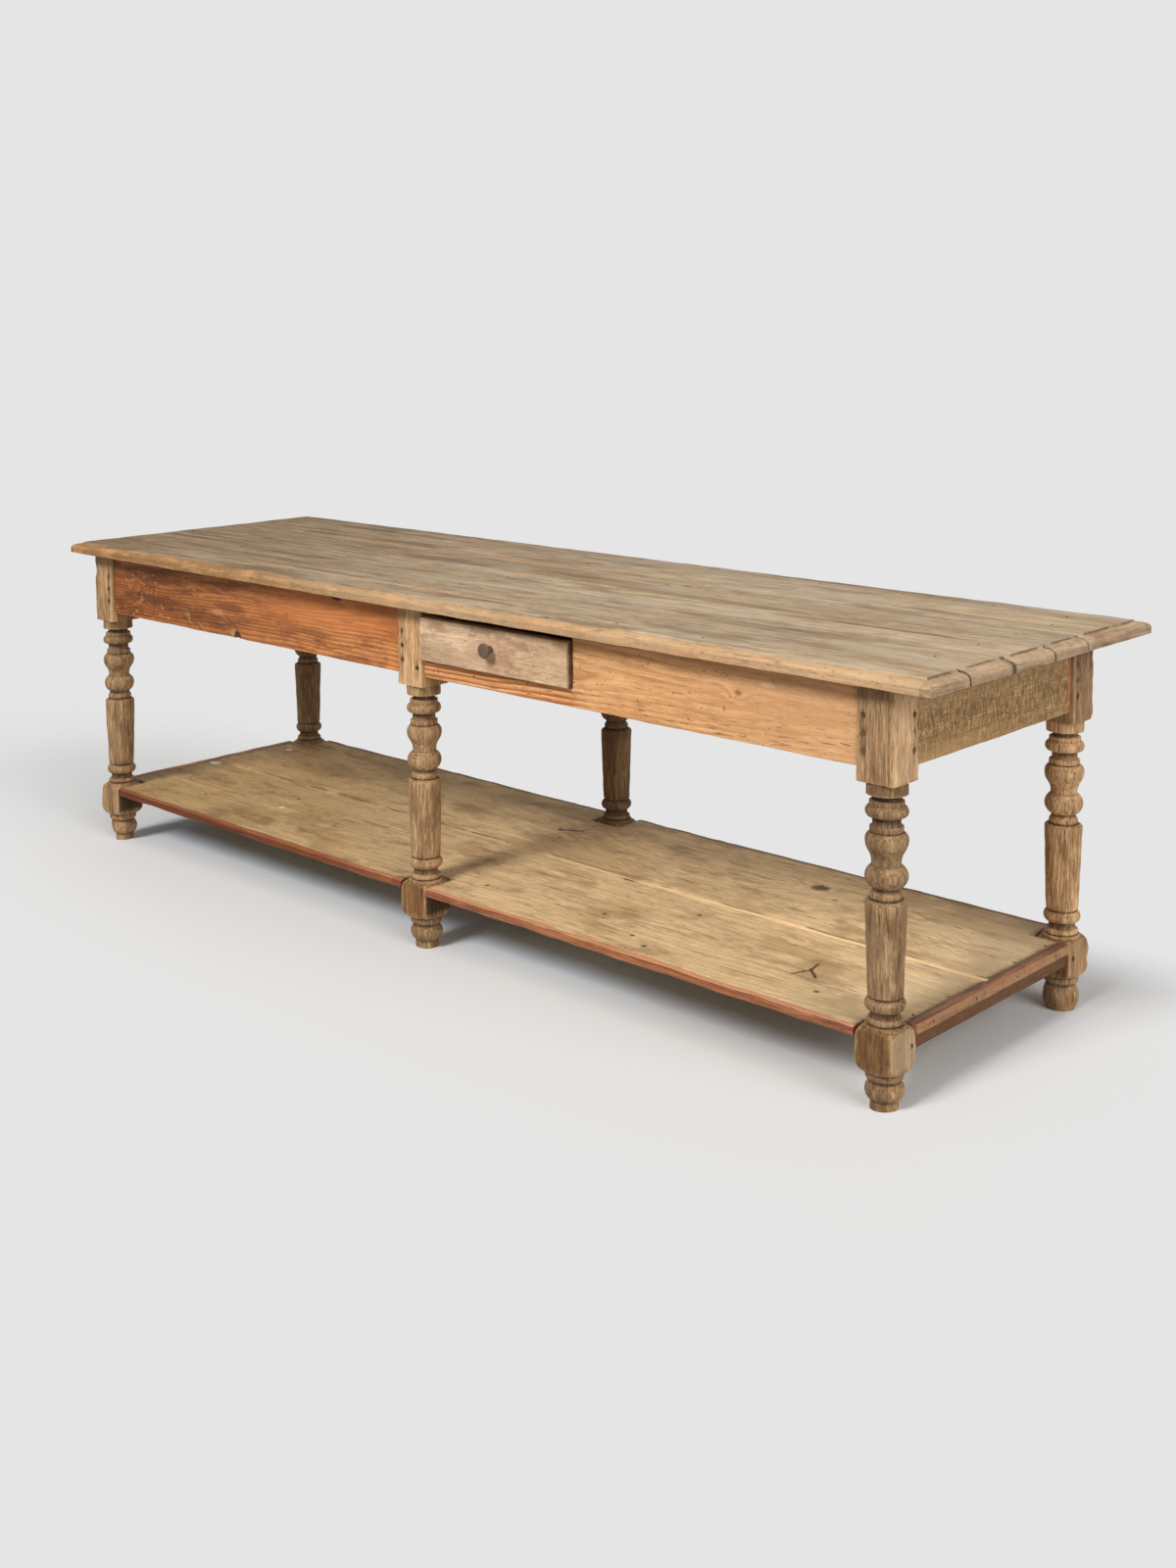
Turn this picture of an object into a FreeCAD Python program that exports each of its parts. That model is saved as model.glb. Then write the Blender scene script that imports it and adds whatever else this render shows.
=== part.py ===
# Draper's table: a long plank top on six turned legs, with a low shelf and one drawer.
# Millimetres. +X runs to the right-hand end, -Y faces the drawer side, +Z is up.
# The origin is on the floor under the middle of the top.
import FreeCAD
import Part
import math
import os
from FreeCAD import Vector

# Whole table
table_height = 800.0
top_length = 2660.0
top_width = 794.0
top_thickness = 28.0

# From the edges of the top in to the leg axes
left_overhang = 88.0
right_overhang = 140.0
side_overhang = 82.0

# Planks of the top from front to back, as parts of its width
plank_parts = [124.0, 145.0, 146.0, 123.0, 149.0, 107.0]
plank_gap = 0.4

# Thumbnail moulding round the edge of the top
mould_square = 13.0
mould_reach = 25.0
mould_quirk = 4.5

# Legs: square blocks left on the turning
leg_block = 80.0
upper_block_height = 179.0
cube_low = 70.0
cube_high = 150.0
cube_low_shoulder = 26.0
cube_high_shoulder = 27.0
cube_low_radius = 33.0
corner_clearance = 1.0

# Foot, from the floor up to the cube
foot_base_height = 18.0
foot_base_radius = 26.5
foot_bead_height = 32.0
foot_bead_radius = 36.5
foot_groove_height = 5.0
foot_groove_radius = 29.5
foot_collar_radius = 35.3

# This leg has lost its foot ring and stands on a plain bun
bun_legs = ["leg_back_right"]
bun_sole_radius = 24.0

# Turnings between the cube and the column
cube_neck_height = 5.0
cube_neck_radius = 38.0
low_ring_height = 12.0
low_ring_radius = 34.0
low_neck_height = 13.0
low_neck_radius = 27.0
low_bead_height = 23.0
low_bead_radius = 37.3
low_groove_height = 3.0
low_groove_radius = 30.0

# Column: its length takes up whatever the other turnings leave
column_low_radius = 32.7
column_high_radius = 38.1
column_shoulder = 5.0
column_neck_radius = 27.0

# Turnings between the column and the upper block
cove_ring_height = 14.0
cove_ring_radius = 30.0
high_groove_height = 7.0
high_groove_radius = 25.5
high_bead_height = 41.0
high_bead_radius = 38.7
vase_neck_height = 5.0
vase_neck_radius = 27.0
vase_height = 38.0
vase_radius = 39.5
vase_cap_height = 17.0
disc_height = 11.0
disc_radius = 31.0
top_groove_height = 15.0
top_groove_radius = 26.0
top_bead_height = 21.0
top_bead_radius = 39.2
top_step_height = 10.0
top_step_radius = 32.0
top_neck_height = 9.0
top_neck_radius = 25.0
block_collar_height = 24.0
block_collar_radius = 38.0
high_member_heights = [
    cove_ring_height, high_groove_height, high_bead_height, vase_neck_height, vase_height, vase_cap_height,
    disc_height, top_groove_height, top_bead_height, top_step_height, top_neck_height, block_collar_height,
]

# Aprons and the rail that ties the middle legs
apron_height = 155.0
apron_thickness = 24.0
apron_setback = 6.0
mouse_hole_from_leg = 578.0
mouse_hole_radius = 7.0

# Stretchers under the shelf
stretcher_height = 28.0
stretcher_width = 45.0
stretcher_setback = 8.0

# Mortise and tenon joints, pinned with eight-sided pegs
tenon_thickness = 10.0
tenon_length = 34.0
tenon_shoulder = 6.0
tenon_clearance = 0.1
peg_width = 10.0
peg_length = 46.0
peg_inset = 16.0
peg_clearance = 0.1
apron_pegs_per_joint = 3
apron_peg_low = 32.0
apron_peg_high = 60.0

# Shelf of two wide boards, given as parts of its width, with a lipping strip across each end
shelf_thickness = 21.0
shelf_parts = [346.0, 364.0]
shelf_notch_gap = 2.0
lipping_thickness = 20.0

# Square cut nails
nail_width = 4.0
nail_clearance = 0.1
top_nail_length = 60.0
shelf_nail_length = 42.0
lipping_nail_length = 45.0
apron_nail_distances = [180.0, 400.0, 620.0]
lipping_nail_margin = 53.0
lipping_nails_per_end = 4

# Drawer in the right half of the front
drawer_opening_width = 446.0
drawer_rail_height = 38.0
drawer_side_gap = 2.0
drawer_bottom_gap = 2.0
drawer_ajar = 14.0
drawer_depth = 510.0
drawer_front_height = 95.0
drawer_front_thickness = 22.0
drawer_side_height = 78.0
drawer_side_thickness = 13.0
drawer_back_height = 60.0
drawer_back_thickness = 12.0
drawer_back_inset = 18.0
drawer_bottom_thickness = 8.0
drawer_bottom_raise = 10.0
groove_depth = 5.0
groove_clearance = 0.1
housing_depth = 4.0
tail_length = 15.0
tail_root = 14.0
tail_flare = 4.0
tail_count = 2
drawer_travel_in = 14.0

# Runners that carry the drawer, their guides and the stops behind it
running_clearance = 0.3
runner_height = 28.0
runner_ledge = 36.0
guide_height = 40.0
guide_thickness = 14.0
guide_clearance = 1.0
runner_leg_gap = 1.0
stop_length = 24.0
stop_height = 18.0

# Drawer knob
knob_radius = 16.0
knob_disc = 7.0
knob_edge = 1.8
knob_neck_radius = 8.5
knob_reach = 22.0
knob_tenon_radius = 6.0
knob_raise = 4.0
knob_clearance = 0.1

# Places that follow from the sizes above
top_underside = table_height - top_thickness
upper_block_low = top_underside - upper_block_height
leg_left = -top_length / 2 + left_overhang
leg_right = top_length / 2 - right_overhang
leg_middle = (leg_left + leg_right) / 2
leg_front = -top_width / 2 + side_overhang
leg_back = -leg_front
half_block = leg_block / 2
front_face = leg_front - half_block
apron_low = top_underside - apron_height
shelf_top = cube_high
shelf_underside = shelf_top - shelf_thickness
lipping_reach = leg_back - half_block - shelf_notch_gap
drawer_rail_top = apron_low + drawer_rail_height
opening_left = leg_middle + half_block
opening_right = opening_left + drawer_opening_width
apron_face = front_face + apron_setback
apron_inside = apron_face + apron_thickness

leg_places = {
    "leg_front_left": (leg_left, leg_front),
    "leg_front_middle": (leg_middle, leg_front),
    "leg_front_right": (leg_right, leg_front),
    "leg_back_left": (leg_left, leg_back),
    "leg_back_middle": (leg_middle, leg_back),
    "leg_back_right": (leg_right, leg_back),
}

# Sine and cosine of 45 degrees, for the middle of a quarter round
diagonal = 0.5 ** 0.5

os.makedirs("parts", exist_ok=True)


def box(x0, x1, y0, y1, z0, z1):
    """A block between two opposite corners."""
    return Part.makeBox(x1 - x0, y1 - y0, z1 - z0, Vector(x0, y0, z0))


def prism(points, along):
    """A solid pushed from a closed outline of straight sides."""
    wire = Part.makePolygon(points + [points[0]])
    return Part.Face(wire).extrude(along)


def save(shape, node):
    """Write one piece to its own file."""
    shape.exportStep("parts/" + node + ".step")


class Turning:
    """Half outline of a lathe-turned piece, followed from its low end up."""

    def __init__(self, radius):
        self.radius = radius
        self.height = 0.0
        self.edges = [Part.LineSegment(Vector(0, 0, 0), Vector(radius, 0, 0)).toShape()]

    def line_to(self, radius, rise):
        start = Vector(self.radius, 0, self.height)
        end = Vector(radius, 0, self.height + rise)
        self.edges.append(Part.LineSegment(start, end).toShape())
        self.radius = radius
        self.height += rise

    def arc_to(self, radius, rise, via_radius, via_rise):
        """A circular arc through a point between its two ends."""
        start = Vector(self.radius, 0, self.height)
        via = Vector(via_radius, 0, self.height + via_rise)
        end = Vector(radius, 0, self.height + rise)
        self.edges.append(Part.Arc(start, via, end).toShape())
        self.radius = radius
        self.height += rise

    def step(self, radius):
        if radius != self.radius:
            self.line_to(radius, 0.0)

    def straight(self, rise):
        self.line_to(self.radius, rise)

    def bead(self, rise, belly, radius):
        """A round that swells to the belly radius, no deeper than a half circle."""
        depth = min(rise / 2, belly - max(self.radius, radius))
        self.step(belly - depth)
        self.arc_to(belly - depth, rise, belly, rise / 2)
        self.step(radius)

    def swell(self, rise, radius):
        """Two arcs that run into each other, upright at both ends."""
        growth = radius - self.radius
        bend = (growth ** 2 + rise ** 2) / (4 * growth)
        half_turn = math.asin(rise / 2 / bend) / 2
        inset = bend * (1 - math.cos(half_turn))
        lift = bend * math.sin(half_turn)
        self.arc_to(self.radius + growth / 2, rise / 2, self.radius + inset, lift)
        self.arc_to(radius, rise / 2, radius - inset, rise / 2 - lift)

    def round_in(self, rise, radius):
        """A convex quarter round that narrows as it rises."""
        inset = (self.radius - radius) * (1 - diagonal)
        self.arc_to(radius, rise, self.radius - inset, rise * diagonal)

    def round_out(self, rise, radius):
        """A convex quarter round that widens as it rises."""
        inset = (radius - self.radius) * (1 - diagonal)
        self.arc_to(radius, rise, radius - inset, rise * (1 - diagonal))

    def solid(self):
        top = Vector(0, 0, self.height)
        self.edges.append(Part.LineSegment(Vector(self.radius, 0, self.height), top).toShape())
        self.edges.append(Part.LineSegment(top, Vector(0, 0, 0)).toShape())
        face = Part.Face(Part.Wire(self.edges))
        return face.revolve(Vector(0, 0, 0), Vector(0, 0, 1), 360)


def start_foot(bun):
    """Base ring and bead, or one bun as tall as both."""
    if bun:
        leg = Turning(bun_sole_radius)
        leg.bead(foot_base_height + foot_bead_height, foot_bead_radius, foot_groove_radius)
        return leg
    leg = Turning(foot_base_radius)
    leg.straight(foot_base_height)
    leg.bead(foot_bead_height, foot_bead_radius, foot_groove_radius)
    return leg


def finish_foot(leg):
    """Groove and collar, up to the underside of the cube."""
    leg.straight(foot_groove_height)
    leg.bead(cube_low - leg.height, foot_collar_radius, cube_low_radius)


def turn_cube(leg, clear_radius):
    """The lower square, with its corners rounded off by the lathe at both ends."""
    leg.round_out(cube_low_shoulder, clear_radius)
    leg.straight(cube_high - cube_low - cube_low_shoulder - cube_high_shoulder)
    leg.round_in(cube_high_shoulder, cube_neck_radius)


def turn_low_members(leg):
    """Neck, ring and bead between the cube and the column."""
    leg.straight(cube_neck_height)
    leg.step(low_groove_radius)
    leg.bead(low_ring_height, low_ring_radius, low_neck_radius)
    leg.straight(low_neck_height)
    leg.bead(low_bead_height, low_bead_radius, low_groove_radius)
    leg.straight(low_groove_height)


def turn_column(leg, column_top):
    """The long tapered column with its rounded shoulder."""
    leg.step(column_low_radius)
    leg.line_to(column_high_radius, column_top - column_shoulder - leg.height)
    leg.round_in(column_shoulder, column_neck_radius)


def turn_high_members(leg):
    """Cove ring, bead, vase, disc, bead and collar below the upper block."""
    leg.bead(cove_ring_height, cove_ring_radius, high_groove_radius)
    leg.straight(high_groove_height)
    leg.bead(high_bead_height, high_bead_radius, vase_neck_radius)
    leg.straight(vase_neck_height)
    leg.swell(vase_height, vase_radius)
    leg.round_in(vase_cap_height, vase_neck_radius)
    leg.step(disc_radius)
    leg.straight(disc_height)
    leg.step(top_groove_radius)
    leg.straight(top_groove_height)
    leg.bead(top_bead_height, top_bead_radius, top_step_radius)
    leg.straight(top_step_height)
    leg.step(top_neck_radius)
    leg.straight(top_neck_height)
    leg.step(block_collar_radius)
    leg.straight(block_collar_height)


def make_leg(bun):
    """One leg on the origin: a square post, turned wherever it isn't left as a block."""
    clear_radius = half_block * 2 ** 0.5 + corner_clearance
    high_members = sum(high_member_heights)
    leg = start_foot(bun)
    finish_foot(leg)
    turn_cube(leg, clear_radius)
    turn_low_members(leg)
    turn_column(leg, upper_block_low - high_members)
    turn_high_members(leg)
    leg.step(clear_radius)
    leg.straight(top_underside - upper_block_low)
    post = box(-half_block, half_block, -half_block, half_block, 0, top_underside)
    return leg.solid().common(post)


def bar(axis, start, end, middle, thickness, low, high):
    """A straight timber along X or Y, centred on a line."""
    near = middle - thickness / 2
    far = middle + thickness / 2
    if axis == "x":
        return box(start, end, near, far, low, high)
    return box(near, far, start, end, low, high)


class Rail:
    """A rail between two legs, with a tenon on each end and pegs through it."""

    def __init__(self, axis, start, end, middle, thickness, low, high, pegs, peg_face):
        self.axis = axis
        self.start = start + half_block
        self.end = end - half_block
        self.middle = middle
        self.thickness = thickness
        self.low = low
        self.high = high
        self.pegs = pegs
        self.peg_face = peg_face
        self.start_high = high

    def tenons(self, grow):
        """Both tenons, or the mortises that take them when grown by a clearance."""
        low = self.low + tenon_shoulder - grow
        shapes = []
        for shoulder, end, high in ((self.start, -1, self.start_high), (self.end, 1, self.high)):
            tip = shoulder + end * (tenon_length + grow)
            edges = sorted((shoulder, tip))
            top = high - tenon_shoulder + grow
            width = tenon_thickness + 2 * grow
            shapes.append(bar(self.axis, edges[0], edges[1], self.middle, width, low, top))
        return shapes

    def body(self):
        return bar(self.axis, self.start, self.end, self.middle, self.thickness, self.low, self.high)

    def peg_places(self):
        """Peg axes, as the point where each peg shows on the leg."""
        places = []
        for shoulder, end, high in ((self.start, -1, self.start_high), (self.end, 1, self.high)):
            along = shoulder + end * peg_inset
            for height in self.peg_heights(high):
                if self.axis == "x":
                    places.append(Vector(along, self.peg_face, height))
                else:
                    places.append(Vector(self.peg_face, along, height))
        return places

    def peg_heights(self, high):
        """Heights of one joint's pegs, spread over the tenon."""
        middle = (self.low + high) / 2
        if self.pegs == 1 or high - self.low < apron_peg_low + apron_peg_high:
            return [middle]
        low_peg = self.low + apron_peg_low
        pitch = (high - apron_peg_high - low_peg) / (self.pegs - 1)
        return [low_peg + pitch * n for n in range(self.pegs)]

    def peg_shapes(self, grow):
        """The pegs, or their holes when grown by a clearance."""
        inward = 1 if self.peg_face < self.middle else -1
        return [peg(place, self.axis, inward, grow) for place in self.peg_places()]


def peg(place, rail_axis, inward, grow):
    """An eight-sided peg driven in square to the rail."""
    flat = peg_width / 2 + grow
    corner = flat * math.tan(math.radians(22.5))
    ring = [(flat, corner), (corner, flat), (-corner, flat), (-flat, corner)]
    ring += [(-flat, -corner), (-corner, -flat), (corner, -flat), (flat, -corner)]
    length = inward * (peg_length + grow)
    if rail_axis == "x":
        points = [place + Vector(a, 0, b) for a, b in ring]
        return prism(points, Vector(0, length, 0))
    points = [place + Vector(0, a, b) for a, b in ring]
    return prism(points, Vector(length, 0, 0))


def long_apron(start, end, side):
    """An apron on the front (side -1) or the back (side 1)."""
    middle = side * (leg_back + half_block - apron_setback - apron_thickness / 2)
    face = side * (leg_back + half_block)
    return Rail("x", start, end, middle, apron_thickness, apron_low, top_underside,
                apron_pegs_per_joint, face)


def end_apron(leg_x, side):
    """An apron across the left (side -1) or the right (side 1) end."""
    middle = leg_x + side * (half_block - apron_setback - apron_thickness / 2)
    face = leg_x + side * half_block
    return Rail("y", leg_front, leg_back, middle, apron_thickness, apron_low, top_underside,
                apron_pegs_per_joint, face)


def stretcher(leg_x, side):
    """A stretcher under the shelf; the end ones stand out towards the ends."""
    middle = leg_x + side * (half_block - stretcher_setback - stretcher_width / 2)
    face = leg_x + (side or -1) * half_block
    low = shelf_underside - stretcher_height
    return Rail("y", leg_front, leg_back, middle, stretcher_width, low, shelf_underside, 1, face)


rails = {
    "apron_front_left": long_apron(leg_left, leg_middle, -1),
    "apron_front_right": long_apron(leg_middle, leg_right, -1),
    "apron_back_left": long_apron(leg_left, leg_middle, 1),
    "apron_back_right": long_apron(leg_middle, leg_right, 1),
    "apron_end_left": end_apron(leg_left, -1),
    "apron_end_right": end_apron(leg_right, 1),
    "middle_rail": Rail("y", leg_front, leg_back, leg_middle, apron_thickness, apron_low, top_underside,
                        apron_pegs_per_joint, leg_middle - half_block),
    "stretcher_left": stretcher(leg_left, -1),
    "stretcher_middle": stretcher(leg_middle, 0),
    "stretcher_right": stretcher(leg_right, 1),
}
rails["apron_front_right"].start_high = drawer_rail_top
stretcher_names = [name for name in rails if name.startswith("stretcher")]


def plank_edges():
    """The lines between the planks, from the front edge to the back."""
    edges = [-top_width / 2]
    for part in plank_parts:
        edges.append(edges[-1] + top_width * part / sum(plank_parts))
    return edges


def nail(place, along, length, grow):
    """A square nail from the point where its head shows."""
    half = nail_width / 2 + grow
    if along == "z":
        return box(place.x - half, place.x + half, place.y - half, place.y + half,
                   place.z - length - grow, place.z)
    ends = sorted((place.x, place.x - along * (length + grow)))
    return box(ends[0], ends[1], place.y - half, place.y + half, place.z - half, place.z + half)


def top_nail_places():
    """The outer planks are nailed to the legs and long aprons, the others to the cross rails."""
    edges = plank_edges()
    inner_planks = list(zip(edges, edges[1:]))[1:-1]
    places = [Vector(x, y, table_height) for x, y in leg_places.values()]
    for name in ("apron_end_left", "middle_rail", "apron_end_right"):
        for low, high in inner_planks:
            places.append(Vector(rails[name].middle, (low + high) / 2, table_height))
    for distance in apron_nail_distances:
        for name in ("apron_front_left", "apron_back_left"):
            places.append(Vector(leg_left + distance, rails[name].middle, table_height))
        for name in ("apron_front_right", "apron_back_right"):
            places.append(Vector(leg_right - distance, rails[name].middle, table_height))
    return places


def shelf_board_edges():
    """Front edge, joint and back edge of the two shelf boards."""
    joint = front_face - 2 * front_face * shelf_parts[0] / sum(shelf_parts)
    return [(front_face, joint - plank_gap / 2), (joint + plank_gap / 2, -front_face)]


def shelf_nail_places():
    """Two nails through each shelf board into each stretcher."""
    places = []
    for name in stretcher_names:
        for low, high in shelf_board_edges():
            for share in (1 / 3, 2 / 3):
                places.append(Vector(rails[name].middle, low + (high - low) * share, shelf_top))
    return places


def lipping_nail_places():
    """Nails through each lipping into the ends of the shelf boards, with the way each one points."""
    height = shelf_top - shelf_thickness / 2
    first = lipping_nail_margin - lipping_reach
    pitch = -2 * first / (lipping_nails_per_end - 1)
    places = []
    for leg_x, side in ((leg_left, -1), (leg_right, 1)):
        for number in range(lipping_nails_per_end):
            place = Vector(leg_x + side * half_block, first + pitch * number, height)
            places.append((place, side))
    return places


def nail_sets(grow):
    """Every nail by group, or every nail hole when grown by a clearance."""
    return {
        "top_nails": [nail(place, "z", top_nail_length, grow) for place in top_nail_places()],
        "shelf_nails": [nail(place, "z", shelf_nail_length, grow) for place in shelf_nail_places()],
        "lipping_nails": [nail(place, side, lipping_nail_length, grow)
                          for place, side in lipping_nail_places()],
    }


nail_holes = nail_sets(nail_clearance)


def bore(shape, tools):
    """Cut only the tools that reach the shape."""
    near = [tool for tool in tools if shape.BoundBox.intersect(tool.BoundBox)]
    return shape.cut(near) if near else shape


def save_legs():
    """Six turned legs, each with the mortises and peg holes of the rails that meet it."""
    mortises = [shape for rail in rails.values() for shape in rail.tenons(tenon_clearance)]
    holes = [shape for rail in rails.values() for shape in rail.peg_shapes(peg_clearance)]
    for node, (x, y) in leg_places.items():
        placed = make_leg(node in bun_legs)
        placed.translate(Vector(x, y, 0))
        save(bore(bore(placed, mortises), holes + nail_holes["top_nails"]), node)


def drawer_notch():
    """The piece cut out of the front right apron for the drawer."""
    return box(opening_left, opening_right, apron_face, apron_inside, drawer_rail_top, top_underside)


def mouse_hole():
    """The small worn hole in the lower edge of the front left apron."""
    place = Vector(leg_left + mouse_hole_from_leg, apron_face, apron_low)
    return Part.makeCylinder(mouse_hole_radius, apron_thickness, place, Vector(0, 1, 0))


def save_rails():
    """Aprons, middle rail and stretchers with their tenons."""
    nails = nail_holes["top_nails"] + nail_holes["shelf_nails"]
    for node, rail in rails.items():
        shape = rail.body()
        if node == "apron_front_right":
            shape = shape.cut(drawer_notch())
        if node == "apron_front_left":
            shape = shape.cut(mouse_hole())
        shape = shape.fuse(rail.tenons(0.0)).removeSplitter()
        shape = bore(shape, rail.peg_shapes(peg_clearance))
        save(bore(shape, nails), node)


def save_pegs():
    """All the pegs, in one group for the aprons and one for the stretchers."""
    stretcher_pegs = []
    apron_pegs = []
    for node, rail in rails.items():
        group = stretcher_pegs if node in stretcher_names else apron_pegs
        group.extend(rail.peg_shapes(0.0))
    save(Part.makeCompound(apron_pegs), "apron_pegs")
    save(Part.makeCompound(stretcher_pegs), "stretcher_pegs")


def mould_outline(half, across):
    """Section of the moulded top from edge to edge; across turns it to run along X or Y."""
    round_top = top_thickness - mould_quirk
    round_rise = round_top - mould_square
    bulge = (mould_reach * (1 - diagonal), mould_square + round_rise * diagonal)

    def at(offset, height):
        return across * offset + Vector(0, 0, top_underside + height)

    def side(sign):
        low = at(sign * half, 0)
        square = at(sign * half, mould_square)
        belly = at(sign * (half - bulge[0]), bulge[1])
        quirk = at(sign * (half - mould_reach), round_top)
        surface = at(sign * (half - mould_reach), top_thickness)
        return low, square, belly, quirk, surface

    edges = []
    for sign in (-1, 1):
        low, square, belly, quirk, surface = side(sign)
        edges.append(Part.LineSegment(low, square).toShape())
        edges.append(Part.Arc(square, belly, quirk).toShape())
        edges.append(Part.LineSegment(quirk, surface).toShape())
    edges.append(Part.LineSegment(side(-1)[4], side(1)[4]).toShape())
    edges.append(Part.LineSegment(side(-1)[0], side(1)[0]).toShape())
    return Part.Face(Part.Wire(Part.__sortEdges__(edges)))


def moulded_top():
    """The whole top with its moulding mitred at the corners, before it is parted into planks."""
    along = mould_outline(top_width / 2, Vector(0, 1, 0))
    along.translate(Vector(-top_length / 2, 0, 0))
    across = mould_outline(top_length / 2, Vector(1, 0, 0))
    across.translate(Vector(0, -top_width / 2, 0))
    lengthwise = along.extrude(Vector(top_length, 0, 0))
    return lengthwise.common(across.extrude(Vector(0, top_width, 0)))


def save_planks():
    """Six planks, butted along their edges."""
    top = moulded_top()
    edges = plank_edges()
    last = len(edges) - 2
    for number, (low, high) in enumerate(zip(edges, edges[1:])):
        near = low if number == 0 else low + plank_gap / 2
        far = high if number == last else high - plank_gap / 2
        strip = box(-top_length / 2, top_length / 2, near, far, top_underside, table_height)
        save(bore(top.common(strip), nail_holes["top_nails"]), "top_plank_" + str(number + 1))


def leg_notches(gap):
    """Square clearances for all six leg blocks."""
    reach = half_block + gap
    places = leg_places.values()
    return [box(x - reach, x + reach, y - reach, y + reach, 0, table_height) for x, y in places]


def save_shelf():
    """Two notched boards and the two lippings across their ends."""
    left = leg_left - half_block
    right = leg_right + half_block
    nails = nail_holes["shelf_nails"] + nail_holes["lipping_nails"]
    notches = leg_notches(shelf_notch_gap)
    for node, (low, high) in zip(("shelf_board_front", "shelf_board_back"), shelf_board_edges()):
        board = box(left + lipping_thickness, right - lipping_thickness, low, high,
                    shelf_underside, shelf_top)
        save(bore(bore(board, notches), nails), node)
    lippings = {"shelf_lipping_left": (left, left + lipping_thickness),
                "shelf_lipping_right": (right - lipping_thickness, right)}
    for node, (near, far) in lippings.items():
        strip = box(near, far, -lipping_reach, lipping_reach, shelf_underside, shelf_top)
        save(bore(strip, nail_holes["lipping_nails"]), node)


def save_nails():
    """Three groups of nails."""
    for node, nails in nail_sets(0.0).items():
        save(Part.makeCompound(nails), node)


# Places of the drawer, at rest a little way out
drawer_left = opening_left + drawer_side_gap
drawer_right = opening_right - drawer_side_gap
drawer_face = apron_face - drawer_ajar
drawer_front_back = drawer_face + drawer_front_thickness
drawer_end = drawer_face + drawer_depth
drawer_low = drawer_rail_top + running_clearance
front_low = drawer_rail_top + drawer_bottom_gap
bottom_low = drawer_low + drawer_bottom_raise
bottom_high = bottom_low + drawer_bottom_thickness
drawer_back_start = drawer_end - drawer_back_inset - drawer_back_thickness
knob_x = (drawer_left + drawer_right) / 2
knob_z = front_low + drawer_front_height / 2 + knob_raise


def dovetails(x0, x1, grow):
    """The tails on the front end of a drawer side, or their sockets when grown."""
    pitch = drawer_side_height / tail_count
    shapes = []
    for number in range(tail_count):
        middle = drawer_low + pitch * (number + 0.5)
        root = tail_root / 2 + grow
        tip = root + tail_flare
        end = drawer_front_back - tail_length - grow
        points = [Vector(x0, drawer_front_back, middle - root), Vector(x0, drawer_front_back, middle + root),
                  Vector(x0, end, middle + tip), Vector(x0, end, middle - tip)]
        shapes.append(prism(points, Vector(x1 - x0, 0, 0)))
    return shapes


def bottom_panel(grow):
    """The drawer bottom, or the groove that takes it when grown."""
    reach = drawer_side_thickness - groove_depth - grow
    front = drawer_front_back - groove_depth - grow
    return box(drawer_left + reach, drawer_right - reach, front, drawer_end,
               bottom_low - grow, bottom_high + grow)


def back_panel(grow):
    """The drawer back, standing on the bottom and housed into the sides."""
    reach = drawer_side_thickness - housing_depth - grow
    low = bottom_high + groove_clearance
    return box(drawer_left + reach, drawer_right - reach, drawer_back_start - grow,
               drawer_back_start + drawer_back_thickness + grow, low, low + drawer_back_height + grow)


def make_knob():
    """A turned knob with a flat face, on a tenon through the drawer front."""
    knob = Turning(knob_tenon_radius)
    knob.straight(drawer_front_thickness)
    knob.step(knob_neck_radius)
    knob.straight(knob_reach - knob_disc)
    knob.step(knob_radius - knob_edge)
    knob.bead(knob_disc, knob_radius, knob_radius - knob_edge)
    solid = knob.solid()
    solid.rotate(Vector(0, 0, 0), Vector(1, 0, 0), 90)
    solid.translate(Vector(knob_x, drawer_front_back, knob_z))
    return solid


def save_drawer_front():
    """The front, with dovetail sockets, a groove for the bottom and a hole for the knob."""
    front_high = front_low + drawer_front_height
    shape = box(drawer_left, drawer_right, drawer_face, drawer_front_back, front_low, front_high)
    inner_left = drawer_left + drawer_side_thickness + groove_clearance
    inner_right = drawer_right - drawer_side_thickness - groove_clearance
    tools = dovetails(drawer_left, inner_left, groove_clearance)
    tools += dovetails(inner_right, drawer_right, groove_clearance)
    tools.append(bottom_panel(groove_clearance))
    hole_mouth = Vector(knob_x, drawer_face, knob_z)
    tools.append(Part.makeCylinder(knob_tenon_radius + knob_clearance, drawer_front_thickness, hole_mouth,
                                   Vector(0, 1, 0)))
    save(shape.cut(tools), "drawer_front")


def save_drawer_sides():
    """Both sides with their tails, grooves and housings."""
    sides = {"drawer_side_left": (drawer_left, drawer_left + drawer_side_thickness),
             "drawer_side_right": (drawer_right - drawer_side_thickness, drawer_right)}
    cuts = [bottom_panel(groove_clearance), back_panel(groove_clearance)]
    for node, (x0, x1) in sides.items():
        shape = box(x0, x1, drawer_front_back, drawer_end, drawer_low, drawer_low + drawer_side_height)
        shape = shape.fuse(dovetails(x0, x1, 0.0)).removeSplitter()
        save(shape.cut(cuts), node)


def save_drawer():
    """Front, sides, back, bottom and knob."""
    save_drawer_front()
    save_drawer_sides()
    save(back_panel(0.0), "drawer_back")
    save(bottom_panel(0.0), "drawer_bottom")
    save(make_knob(), "drawer_knob")


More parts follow.
